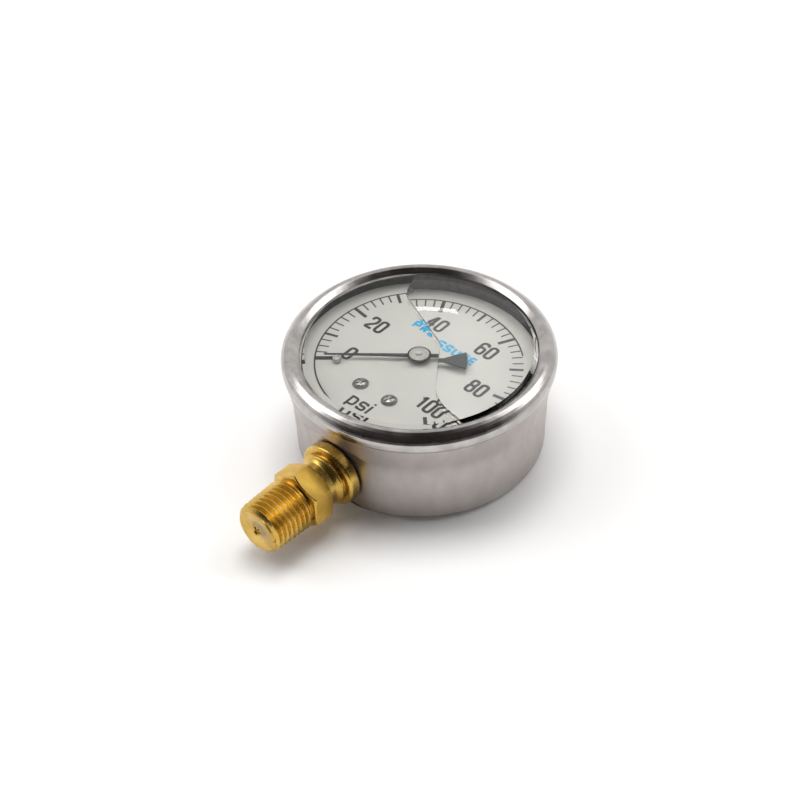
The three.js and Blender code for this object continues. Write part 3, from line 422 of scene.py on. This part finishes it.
# ---- Seals and fill plug ---------------------------------------------------------------------
# Black moulded rubber: the flat seal under the window, the ring between the socket's collar and
# the case, and the plug pressed into the filling hole at 12 o'clock.
black_rubber = Finish("black_rubber")
skin = black_rubber.noise(black_rubber.place(), 1800.0, 3.0)
black_rubber.surface(
    Base_Color=black_rubber.ramp(skin, (0.3, (0.012, 0.012, 0.013)), (0.8, (0.035, 0.034, 0.036))),
    Roughness=0.55 + 0.2 * skin,
    Normal=black_rubber.bump(skin, 0.2, 0.00003),
)
wear(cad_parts["window_gasket"], black_rubber)
seal = spun("socket_seal_ring", eased([
    (0, -30.71), (7.85, -30.71, 0.1), (7.85, -31.09, 0.1), (0, -31.09),
]), steps=96, about="Y", axis_z=STEM_Z)
shaped(seal, block("seal_slot", (-7.05, -32, STEM_Z - 3.95), (7.05, -30, STEM_Z + 3.95), 0.9))
fastened(seal, black_rubber, "gauge_body", "black_rubber", "socket_seal")
plug = spun("rubber_fill_plug", eased([
    (0, 29.4), (3.0, 29.4, 0.4), (3.4, 30.0, 0.3), (3.4, 32.25), (4.6, 32.25, 0.15),
    (4.6, 33.0, 0.6), (3.8, 33.65, 0.8), (1.7, 33.65, 0.2), (1.4, 33.3, 0.2), (0, 33.3),
]), steps=96, about="Y", axis_z=PLUG_Z)
fastened(plug, black_rubber, "plug", "black_rubber", "fill_plug")


# ---- Socket ----------------------------------------------------------------------------------
# One brass bar: the tapered pipe thread, the hexagon, the waist and the collar are turned, the
# hexagon's flats are left from the drawn bar, and the block inside the case is milled.
turned_profile = eased([
    (0, -39.9), (5.9, -39.9), (5.9, -37.0, 0.5), (6.4, -36.35, 0.2), (6.9, -35.9, 0.35),
    (6.9, -35.2, 0.35), (6.35, -34.85, 0.15), (6.35, -34.55, 0.15), (7.7, -34.45, 0.2),
    (8.3, -33.9, 0.6), (8.3, -31.6, 0.5), (7.9, -31.12, 0.3), (0, -31.1),
])
collar = spun("socket_brass", turned_profile, steps=128, about="Y", axis_z=STEM_Z, angle=28)

clear()
HEX_RADIUS = 7 / math.cos(math.pi / 6)
bpy.ops.mesh.primitive_cylinder_add(
    vertices=6, radius=HEX_RADIUS * MM, depth=6.1 * MM, location=(0, -42.35 * MM, STEM_Z * MM),
    rotation=(math.pi / 2, 0, 0),
)
hexagon = bpy.context.object
hexagon.name = "socket_hexagon"
bpy.ops.object.transform_apply(location=True, rotation=True, scale=True)
chamfer = spun("hexagon_chamfer", [
    (0, -45.4), (6.85, -45.4), (8.15, -44.75), (8.15, -39.95), (6.85, -39.3), (0, -39.3),
], steps=96, about="Y", axis_z=STEM_Z)
shaped(hexagon, chamfer, "INTERSECT")
softened = hexagon.modifiers.new("edges", "BEVEL")
softened.width, softened.segments, softened.limit_method = 0.14 * MM, 3, "ANGLE"
softened.angle_limit = math.radians(35)
bpy.ops.object.modifier_apply(modifier=softened.name)
bpy.ops.object.shade_smooth_by_angle(angle=math.radians(32))

PITCH, THREAD_DEPTH, THREAD_END, THREAD_TOP = 25.4 / 18, 1.0, -58.3, -46.1
CREST_END, TAPER = 6.6, 1 / 32
TURNS = 10
clear()
ridge = begin("thread_ridge", CREST_END - THREAD_DEPTH - 0.25, THREAD_END - 0.9, 0)
foot = 0.05 + (THREAD_DEPTH + 0.25) * math.tan(math.radians(30))
draw_on(THREAD_DEPTH + 0.25, foot - 0.05, 0)
draw_on(0, 0.1, 0)
draw_on(-THREAD_DEPTH - 0.25, foot - 0.05, 0)
bpy.ops.mesh.select_all(action="SELECT")
bpy.ops.mesh.edge_face_add()
bpy.ops.object.mode_set(mode="OBJECT")
winding = ridge.modifiers.new("winding", "SCREW")
winding.axis = "Y"
winding.angle = 2 * math.pi * TURNS
winding.steps = winding.render_steps = 40 * TURNS
winding.screw_offset = PITCH * TURNS * MM
winding.use_merge_vertices = False
bpy.ops.object.modifier_apply(modifier=winding.name)
ridge.location.z = STEM_Z * MM
bpy.ops.object.transform_apply(location=True, rotation=True, scale=True)
bpy.ops.object.mode_set(mode="EDIT")
bpy.ops.mesh.select_all(action="DESELECT")
bpy.ops.mesh.select_non_manifold()
bpy.ops.mesh.fill_holes(sides=8)
close_up(ridge)
for vertex in ridge.data.vertices:
    grow = (vertex.co.y / MM - THREAD_END) * TAPER
    away = Vector((vertex.co.x, 0, vertex.co.z - STEM_Z * MM))
    vertex.co += away.normalized() * grow * MM
core = spun("thread_core", [
    (0, THREAD_END), (5.6, THREAD_END), (5.98, THREAD_TOP), (5.98, -44.0), (0, -44.0),
], steps=80, about="Y", axis_z=STEM_Z)
shaped(core, ridge, "UNION")
trim = spun("thread_trim", [
    (0, THREAD_END + 0.02), (5.55, THREAD_END + 0.02), (6.75, THREAD_END + 1.2),
    (7.2, THREAD_TOP - 1.1),
    (5.99, THREAD_TOP), (5.99, -43.9), (0, -43.9),
], steps=80, about="Y", axis_z=STEM_Z)
shaped(core, trim, "INTERSECT")
bpy.ops.object.shade_smooth_by_angle(angle=math.radians(30))

bore = spun("bore_tool", [
    (0, -59), (1.9, -59), (1.45, THREAD_END), (1.1, THREAD_END + 0.45), (1.1, -22), (0, -21.5),
], steps=48, about="Y", axis_z=STEM_Z)
inner_block = block(
    "socket_block", (-BLOCK_X, -31.3, STEM_Z - BLOCK_Z), (BLOCK_X, -13.5, STEM_Z + BLOCK_Z), 0.7)
for part in (hexagon, core, collar, inner_block):
    shaped(part, bore, keep_tool=True)
bpy.data.objects.remove(bore)
clear()
for part in (hexagon, core, collar, inner_block):
    part.select_set(True)
bpy.context.view_layer.objects.active = collar
bpy.ops.object.join()
socket = collar

turned_brass = Finish("turned_brass")
tool_lines = turned_brass.noise(turned_brass.stretched((0.02, 1, 0.02)), 7000.0, 3.0)
tarnish = turned_brass.noise(turned_brass.place(), 180.0, 4.0, 0.6)
grain = turned_brass.noise(turned_brass.place(), 2600.0, 3.0)
turned_brass.surface(
    Base_Color=turned_brass.ramp(
        tarnish, (0.3, (0.50, 0.31, 0.06)), (0.55, (0.69, 0.46, 0.115)), (0.8, (0.79, 0.57, 0.20)),
    ),
    Metallic=1.0,
    Roughness=0.17 + 0.14 * tarnish + 0.06 * grain,
    Normal=turned_brass.bump(tool_lines * 0.6 + grain * 0.4, 0.18, 0.00004),
)
fastened(socket, turned_brass, "gauge_body", "turned_brass", "socket")
drawn_brass = Finish("drawn_brass_flats")
skin_marks = drawn_brass.noise(drawn_brass.stretched((1, 0.3, 1)), 900.0, 4.0, 0.6)
stains = drawn_brass.noise(drawn_brass.place(), 260.0, 3.0)
drawn_brass.surface(
    Base_Color=drawn_brass.ramp(stains, (0.3, (0.62, 0.37, 0.06)), (0.75, (0.83, 0.55, 0.12))),
    Metallic=1.0, Roughness=0.36 + 0.12 * skin_marks,
    Normal=drawn_brass.bump(skin_marks, 0.2, 0.00003),
)
socket.data.materials.append(drawn_brass.material)
for face in socket.data.polygons:
    x, y, z = face.center / MM
    if -45.5 < y < -39.3 and math.hypot(x, z - STEM_Z) > 6.6 and abs(face.normal.y) < 0.1:
        face.material_index = 1
wear(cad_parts["restrictor"], turned_brass)


# ---- Dial ------------------------------------------------------------------------------------
# A painted aluminium disc, screwed to two posts, with its scale, figures and words printed in
# black and blue. The zero mark is a long bar at the start of the arc, and a stop pin holds the
# pointer just above it.
DIAL_BASE, DIAL_FACE, DIAL_RADIUS = 20.2, 21.0, 30.25
SCREW_X, SCREW_Y = 4.7, -16.3
PRINT = 0.03
dial = spun("dial_disc", eased([
    (2.0, DIAL_BASE), (DIAL_RADIUS, DIAL_BASE), (DIAL_RADIUS, DIAL_FACE, 0.15),
    (2.0, DIAL_FACE, 0.1), (2.0, DIAL_BASE),
]), steps=192)
for x in (-SCREW_X, SCREW_X):
    clear()
    bpy.ops.mesh.primitive_cylinder_add(
        vertices=32, radius=1.05 * MM, depth=3 * MM, location=(x * MM, SCREW_Y * MM, 20.6 * MM),
    )
    shaped(dial, bpy.context.object)
white_paint = Finish("dial_white_paint")
speckle = white_paint.noise(white_paint.place(), 2400.0, 3.0)
shade = white_paint.noise(white_paint.place(), 45.0, 2.0)
white_paint.surface(
    Base_Color=white_paint.ramp(shade, (0.3, (0.425, 0.42, 0.39)), (0.7, (0.455, 0.45, 0.425))),
    Roughness=0.45 + 0.12 * speckle,
    Normal=white_paint.bump(speckle, 0.1, 0.00002),
)
fastened(dial, white_paint, "gauge_body", "dial_white", "dial")

black_ink = Finish("black_printing_ink")
ink_grain = black_ink.noise(black_ink.place(), 3000.0, 2.0)
black_ink.surface(
    Base_Color=black_ink.ramp(ink_grain, (0.3, (0.010, 0.010, 0.011)), (0.8, (0.022, 0.022, 0.024))),
    Roughness=0.5 + 0.15 * ink_grain,
)
blue_ink = Finish("blue_printing_ink")
blue_grain = blue_ink.noise(blue_ink.place(), 3000.0, 2.0)
blue_ink.surface(
    Base_Color=blue_ink.ramp(blue_grain, (0.3, (0.0, 0.30, 0.55)), (0.8, (0.01, 0.38, 0.62))),
    Roughness=0.5 + 0.15 * blue_grain,
)

ARC_RADIUS, ARC_WIDTH = 25.8, 0.42
START, SPAN = -135.0, 270.0
marks = []
for reading in [0] + list(range(4, 101, 2)):
    turn = START + SPAN * (2 if reading == 0 else reading) / 100
    if reading == 0:
        length, width = 4.6, 1.35
    elif reading % 20 == 0:
        length, width = 4.6, 0.95
    elif reading % 10 == 0:
        length, width = 3.5, 0.8
    else:
        length, width = 2.7, 0.4
    a = math.radians(turn)
    middle = ARC_RADIUS + 0.1 - length / 2
    clear()
    centre = Vector((middle * math.sin(a), middle * math.cos(a), DIAL_FACE + PRINT / 2)) * MM
    bpy.ops.mesh.primitive_cube_add(
        size=MM, location=centre, rotation=(0, 0, -a), scale=(width, length, PRINT),
    )
    marks.append(bpy.context.object)
    bpy.ops.object.transform_apply(location=True, rotation=True, scale=True)
arc = begin("scale_arc", ARC_RADIUS, 0, DIAL_FACE)
for out, up in ((ARC_WIDTH, 0), (0, PRINT), (-ARC_WIDTH, 0)):
    draw_on(out, 0, up)
bpy.ops.mesh.select_all(action="SELECT")
bpy.ops.mesh.edge_face_add()
bpy.ops.mesh.select_all(action="SELECT")
ARC_FROM, ARC_TO = START + SPAN * 0.02 - 0.8, START + SPAN + 0.8
bpy.ops.mesh.spin(
    steps=150, angle=math.radians(ARC_TO - ARC_FROM), center=(0, 0, 0), axis=(0, 0, 1),
)
close_up(arc)
arc.rotation_euler = (0, 0, math.radians(90 - ARC_TO))
bpy.ops.object.transform_apply(location=True, rotation=True, scale=True)
clear()
for mark in marks + [arc]:
    mark.select_set(True)
bpy.context.view_layer.objects.active = arc
bpy.ops.object.join()
arc.name = "dial_scale"
fastened(arc, black_ink, "gauge_body", "black_paint")


# Each letter's strokes, as shares of its width and height, with a third number where a corner is
# rounded. A stroke marked True is a closed loop.
BOWL = [(False, [(0, 1), (1, 1, 0.25), (1, 0.45, 0.25), (0, 0.45)])]
STEM = [(False, [(0, 0), (0, 1)])]
ESS = [(False, [
    (0, 0.22), (0, 0, 0.25), (1, 0, 0.25), (1, 0.5, 0.22), (0, 0.5, 0.22), (0, 1, 0.25),
    (1, 1, 0.25), (1, 0.78),
])]
LETTERS = {
    "0": [(True, [(0, 0, 0.28), (1, 0, 0.28), (1, 1, 0.28), (0, 1, 0.28)])],
    "1": [(False, [(0.7, 0), (0.7, 1)]), (False, [(0.7, 0.96), (0.1, 0.74)])],
    "2": [
        (False, [(0, 0.72), (0, 1, 0.25), (1, 1, 0.25), (1, 0.58, 0.2), (0, 0.1, 0.1), (0, 0)]),
        (False, [(-0.1, 0), (1.1, 0)]),
    ],
    "4": [
        (False, [(0.72, -0.04), (0.72, 1.04)]), (False, [(0.66, 1), (0, 0.3)]),
        (False, [(-0.1, 0.26), (1.15, 0.26)]),
    ],
    "6": [
        (True, [(0, 0, 0.26), (1, 0, 0.26), (1, 0.58, 0.24), (0, 0.58, 0.24)]),
        (False, [(0, 0.3), (0, 1, 0.28), (1, 1, 0.26), (1, 0.8)]),
    ],
    "8": [
        (True, [(0, 0, 0.25), (1, 0, 0.25), (1, 0.53, 0.22), (0, 0.53, 0.22)]),
        (True, [(0.06, 0.53, 0.2), (0.94, 0.53, 0.2), (0.94, 1, 0.22), (0.06, 1, 0.22)]),
    ],
    "p": [(False, [(0, -0.42), (0, 1.08)]), (False, [(0, 0), (1, 0, 0.4), (1, 1, 0.4), (0, 1)])],
    "s": ESS, "S": ESS,
    "i": [(False, [(0, -0.08), (0, 1.08)]), (False, [(0, 1.3), (0, 1.52)])],
    "P": STEM + BOWL,
    "R": STEM + BOWL + [(False, [(0.45, 0.45), (1, 0)])],
    "E": STEM + [(False, [(0, y), (1, y)]) for y in (0, 0.5, 1)],
    "U": [(False, [(0, 1), (0, 0, 0.3), (1, 0, 0.3), (1, 1)])],
}
NARROW = {"1": 0.75, "i": 0.0}


def lettering(name, words, x, y, height, width, weight, gap):
    """Words printed on the dial, centred on x and y, each letter drawn with round pen strokes."""
    clear()
    curve = bpy.data.curves.new(name, "CURVE")
    curve.dimensions = "3D"
    curve.bevel_depth, curve.bevel_resolution, curve.use_fill_caps = weight / 2 * MM, 1, True
    tall, wide = height - weight, width - weight
    widths = [wide * NARROW.get(letter, 1) for letter in words]
    pen = x - (sum(widths) + (gap + weight) * (len(words) - 1)) / 2
    for letter, across in zip(words, widths):
        for closed, points in LETTERS[letter]:
            path = eased([
                (pen + px * across, y + (py - 0.5) * tall, *[r * tall for r in corner])
                for px, py, *corner in points
            ], closed)
            if closed:
                path.pop()
            spline = curve.splines.new("POLY")
            spline.use_cyclic_u = closed
            spline.points.add(len(path) - 1)
            for point, (px, py) in zip(spline.points, path):
                point.co = (px * MM, py * MM, 0, 1)
        pen += across + gap + weight
    piece = bpy.data.objects.new(name, curve)
    bpy.context.collection.objects.link(piece)
    bpy.context.view_layer.objects.active = piece
    piece.select_set(True)
    bpy.ops.object.convert(target="MESH")
    piece = bpy.context.object
    for vertex in piece.data.vertices:
        vertex.co.z = (DIAL_FACE + PRINT / 2) * MM + vertex.co.z * PRINT / weight
    return piece


FIGURE_SIZES = (5.1, 2.6, 0.82, 0.28)
FIGURES = [
    ("0", 17.5, -123.7), ("20", 17.0, -80.5), ("40", 16.6, -25.5), ("60", 17.6, 32.0),
    ("80", 16.65, 81.0),
]
for words, away, turn in FIGURES:
    a = math.radians(turn)
    x, y = away * math.sin(a), away * math.cos(a)
    figure = lettering("figure_" + words, words, x, y, *FIGURE_SIZES)
    fastened(figure, black_ink, "gauge_body", "black_paint")
hundred = lettering("figure_100", "100", 13.9, -11.4, *FIGURE_SIZES)
fastened(hundred, black_ink, "gauge_body", "black_paint")
psi = lettering("unit_psi", "psi", 0.1, -21.9, 3.3, 2.6, 0.7, 0.5)
fastened(psi, black_ink, "gauge_body", "black_paint")
word = lettering("word_pressure", "PRESSURE", 0.0, 9.5, 3.0, 2.2, 0.72, 0.38)
fastened(word, blue_ink, "gauge_body", "dial_white")


# ---- Dial screws and stop pin ----------------------------------------------------------------
# Two nickel-plated cross-recessed pan head screws hold the dial. The stop pin is a short turned
# steel pin.
nickel = Finish("nickel_plate")
plating = nickel.noise(nickel.place(), 1500.0, 3.0)
nickel.surface(
    Base_Color=nickel.ramp(plating, (0.3, (0.40, 0.39, 0.365)), (0.8, (0.52, 0.505, 0.475))),
    Metallic=1.0, Roughness=0.24 + 0.1 * plating,
    Normal=nickel.bump(plating, 0.04, 0.00002),
)
for side, x in (("left", -SCREW_X), ("right", SCREW_X)):
    screw = spun("dial_screw_" + side + "_pan", eased([
        (0, 18.6), (0.85, 18.6), (0.85, DIAL_FACE + 0.01), (2.05, DIAL_FACE + 0.01, 0.1),
        (2.05, 21.5, 0.5), (1.2, 22.25, 1.2), (0, 22.32),
    ]), steps=64)
    for turn in (0, math.pi / 2):
        clear()
        bpy.ops.mesh.primitive_cube_add(
            size=MM, location=(0, 0, 22.3 * MM), scale=(2.5, 0.5, 1.3), rotation=(0, 0, turn),
        )
        bpy.ops.object.transform_apply(location=True, rotation=True, scale=True)
        shaped(screw, bpy.context.object)
    screw.rotation_euler = (0, 0, math.radians(20 + 30 * x))
    screw.location = (x * MM, SCREW_Y * MM, 0)
    bpy.ops.object.transform_apply(location=True, rotation=True, scale=True)
    bpy.ops.object.shade_smooth_by_angle(angle=math.radians(30))
    fastened(screw, nickel, "gauge_body", "nickel_plate", "dial_screw_" + side)
STOP_AWAY, STOP_TURN = 20.5, math.radians(-132.9)
stop_pin = spun("stop_pin_turned", eased([
    (0, 19.9), (0.6, 19.9), (0.6, DIAL_FACE), (1.05, DIAL_FACE), (1.05, 23.6, 0.25), (0, 23.6),
]), steps=40)
stop_pin.location = Vector((math.sin(STOP_TURN), math.cos(STOP_TURN), 0)) * STOP_AWAY * MM
bpy.ops.object.transform_apply(location=True, rotation=True, scale=True)
fastened(stop_pin, nickel, "gauge_body", "black_pin", "zero_stop_pin")


# ---- Pointer ---------------------------------------------------------------------------------
# A blade stamped from thin aluminium and painted black, with a flared counterweight, pressed on
# a black bush. A plated washer caps it, and the arbor's end shows in the middle.
REST = math.radians(128.6)


def stamped(name, outline, low, high, rounding, turn=0.0):
    """A flat plate from its outline in millimetres."""
    x, y = outline[0]
    piece = begin(name, x, y, low)
    for (x0, y0), (x1, y1) in zip(outline, outline[1:]):
        draw_on(x1 - x0, y1 - y0, 0)
    bpy.ops.mesh.select_all(action="SELECT")
    bpy.ops.mesh.edge_face_add()
    bpy.ops.mesh.extrude_region_move(TRANSFORM_OT_translate={"value": (0, 0, (high - low) * MM)})
    close_up(piece)
    if rounding:
        edges = piece.modifiers.new("edges", "BEVEL")
        edges.width, edges.segments, edges.limit_method = rounding * MM, 2, "ANGLE"
        bpy.ops.object.modifier_apply(modifier=edges.name)
    piece.rotation_euler = (0, 0, turn)
    bpy.ops.object.transform_apply(location=True, rotation=True, scale=True)
    return piece


FAN = math.radians(14.9)
blade_outline = [(-0.62, -5.9)]
blade_outline += [
    (12 * math.sin(FAN * k / 6), -12 * math.cos(FAN * k / 6)) for k in range(-6, 7)
]
blade_outline += [(0.62, -5.9)]
blade_outline += [
    (2.95 * math.sin(math.radians(t)), -2.95 * math.cos(math.radians(t)))
    for t in range(12, 169, 12)
]
blade_outline += [(0.62, 3.1), (0.24, 23.6), (0, 23.8), (-0.24, 23.6), (-0.62, 3.1)]
blade_outline += [
    (-2.95 * math.sin(math.radians(t)), -2.95 * math.cos(math.radians(t)))
    for t in range(168, 11, -12)
]
blade = stamped("pointer_blade", blade_outline, 22.8, 23.2, 0.05, REST)
black_paint = Finish("black_satin_paint")
orange_peel = black_paint.noise(black_paint.place(), 1600.0, 3.0)
black_paint.surface(
    Base_Color=black_paint.ramp(orange_peel, (0.3, (0.010, 0.010, 0.012)), (0.8, (0.02, 0.02, 0.023))),
    Roughness=0.35 + 0.15 * orange_peel,
    Normal=black_paint.bump(orange_peel, 0.12, 0.00002),
)
fastened(blade, black_paint, "pointer_assembly", "black_paint", "pointer")
bush = spun("pointer_bush", eased([
    (0.65, 22.4), (1.5, 22.4), (1.5, 23.19), (2.95, 23.21), (2.95, 23.9, 0.25), (2.5, 24.0, 0.1),
    (0.65, 24.0), (0.65, 22.4),
]), steps=96)
fastened(bush, black_paint, "pointer_assembly", "black_paint", "pointer_hub")
washer = spun("pointer_washer", eased([
    (0.65, 24.01), (2.5, 24.01), (2.5, 24.25, 0.12), (0.65, 24.25, 0.1), (0.65, 24.01),
]), steps=96)
fastened(washer, nickel, "pointer_assembly", "nickel_plate", "pointer_cap")


# ---- Movement --------------------------------------------------------------------------------
# Behind the dial: two brass plates on turned pillars, the sector and its link, the steel pinion
# with its hairspring, and the bronze tube that uncoils under pressure.
movement_brass = Finish("movement_brass")
milling = movement_brass.noise(movement_brass.stretched((0.1, 1, 1)), 2200.0, 3.0)
stain = movement_brass.noise(movement_brass.place(), 220.0, 3.0)
movement_brass.surface(
    Base_Color=movement_brass.ramp(stain, (0.3, (0.60, 0.41, 0.14)), (0.75, (0.78, 0.58, 0.25))),
    Metallic=1.0, Roughness=0.28 + 0.15 * stain,
    Normal=movement_brass.bump(milling, 0.15, 0.00003),
)
bronze = Finish("tube_bronze")
drawing = bronze.noise(bronze.stretched((1, 1, 0.2)), 1200.0, 3.0)
heat = bronze.noise(bronze.place(), 120.0, 3.0)
bronze.surface(
    Base_Color=bronze.ramp(heat, (0.3, (0.42, 0.24, 0.10)), (0.75, (0.62, 0.40, 0.19))),
    Metallic=1.0, Roughness=0.3 + 0.18 * heat,
    Normal=bronze.bump(drawing, 0.15, 0.00003),
)
ground_steel = Finish("ground_steel")
grinding = ground_steel.noise(ground_steel.stretched((1, 1, 4)), 2600.0, 3.0)
ground_steel.surface(
    Base_Color=ground_steel.ramp(grinding, (0.3, (0.42, 0.42, 0.43)), (0.8, (0.58, 0.58, 0.58))),
    Metallic=1.0, Roughness=0.25 + 0.15 * grinding,
    Normal=ground_steel.bump(grinding, 0.12, 0.00002),
)
MOVEMENT = {
    "back_plate": movement_brass, "front_plate": movement_brass, "sector_gear": movement_brass,
    "link": movement_brass, "tube_tip": movement_brass, "hairspring_collet": movement_brass,
    "hairspring_stud": movement_brass, "dial_post_left": movement_brass,
    "dial_post_right": movement_brass, "pillar_1": movement_brass, "pillar_2": movement_brass,
    "pillar_3": movement_brass, "bourdon_tube": bronze, "hairspring": bronze,
    "pinion": ground_steel, "sector_arbor": ground_steel, "link_pin_tail": ground_steel,
    "link_pin_tip": ground_steel, "plate_screw_1": nickel, "plate_screw_2": nickel,
    "plate_screw_3": nickel, "socket_clip": ground_steel,
}
for node, finish in MOVEMENT.items():
    wear(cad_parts[node], finish)


# ---- Window and filling liquid ---------------------------------------------------------------
# A clear moulded disc with a chamfer inside the ring. The case is filled with glycerine but for
# one large bubble, which lies against the window on the right and bends what is seen through it.
def clear_finish(name, ior, tint, waves):
    """Glass that lets lamp light straight through to what is behind it."""
    finish = Finish(name)
    ripple = finish.noise(finish.place(), waves, 2.0)
    glass = finish.node("ShaderNodeBsdfGlass", {}, {
        "Color": tint, "Roughness": 0.0, "IOR": ior, "Normal": finish.bump(ripple, 0.05, 0.00002),
    })
    straight = finish.node("ShaderNodeBsdfTransparent", {}, {"Color": tint})
    shadow = finish.node("ShaderNodeLightPath", out="Is Shadow Ray")
    finish.show(finish.node("ShaderNodeMixShader", {}, {0: shadow, 1: glass, 2: straight}))
    return finish


INDEX = 1.47
WINDOW_BASE, WINDOW_FLANGE, WINDOW_TOP = 26.1, 27.6, 28.8
window = spun("window_clear_disc", [
    (0, WINDOW_BASE), (33.25, WINDOW_BASE), (33.25, WINDOW_FLANGE - 0.02),
    (29.4, WINDOW_FLANGE - 0.02), (28.35, WINDOW_TOP), (0, WINDOW_TOP),
], steps=192, angle=15)
window_glass = clear_finish("window_clear", INDEX, (0.985, 0.99, 0.985), 60.0)
fastened(window, window_glass, "gauge_body", "window_clear", "window")
into_liquid = Finish("window_wetted_face")
into_liquid.show(into_liquid.node("ShaderNodeBsdfTransparent", {}, {"Color": (1, 1, 1)}))
window.data.materials.append(into_liquid.material)
for face in window.data.polygons:
    if face.normal.z < -0.9:
        face.material_index = 1

# The bubble's free edge winds across the dial from one side to the other, and the case's wall
# closes the outline.
BUBBLE_RADIUS = 31.2
RIM_LOW, RIM_HIGH = 24.55, 25.15
bubble_outline = eased([
    (-21.9, 22.2), (-20.3, 20.8, 3), (-17.8, 14.7, 6), (1.8, 5.9, 5), (14.3, -10.8, 14),
    (28.3, -13),
])
first, last = [math.atan2(y, x) for x, y in (bubble_outline[-1], bubble_outline[0])]
for k in range(61):
    a = first + (last - first) * k / 60
    bubble_outline.append((BUBBLE_RADIUS * math.cos(a), BUBBLE_RADIUS * math.sin(a)))
bubble = stamped("filling_bubble", bubble_outline, 21.6, WINDOW_BASE - 0.02, 0)
rounding = bubble.modifiers.new("meniscus", "BEVEL")
rounding.width, rounding.segments, rounding.limit_method = 0.9 * MM, 5, "ANGLE"
rounding.angle_limit = math.radians(60)
bpy.ops.object.modifier_apply(modifier=rounding.name)
bpy.ops.object.mode_set(mode="EDIT")
for height in (RIM_HIGH, RIM_LOW):
    bpy.ops.mesh.select_all(action="SELECT")
    bpy.ops.mesh.bisect(plane_co=(0, 0, height * MM), plane_no=(0, 0, 1))
bpy.ops.object.mode_set(mode="OBJECT")
bpy.ops.object.shade_smooth_by_angle(angle=math.radians(50))
bubble_surface = clear_finish("bubble_surface", 1 / INDEX, (1, 1, 1), 120.0)
fastened(bubble, bubble_surface, "gauge_body", "window_clear")
# Painted shade: faces of the bubble's rim between RIM_LOW and RIM_HIGH get near-black glass. This
# paints the dark line seen where light is reflected away at the meniscus.
bubble_rim_painted_shade = clear_finish("bubble_rim_painted_shade", 1 / INDEX, (0.02, 0.02, 0.02), 120.0)
bubble.data.materials.append(bubble_rim_painted_shade.material)
for face in bubble.data.polygons:
    x, y, z = face.center / MM
    if RIM_LOW < z < RIM_HIGH and math.hypot(x, y) < BUBBLE_RADIUS - 0.4:
        face.material_index = 1

clear()
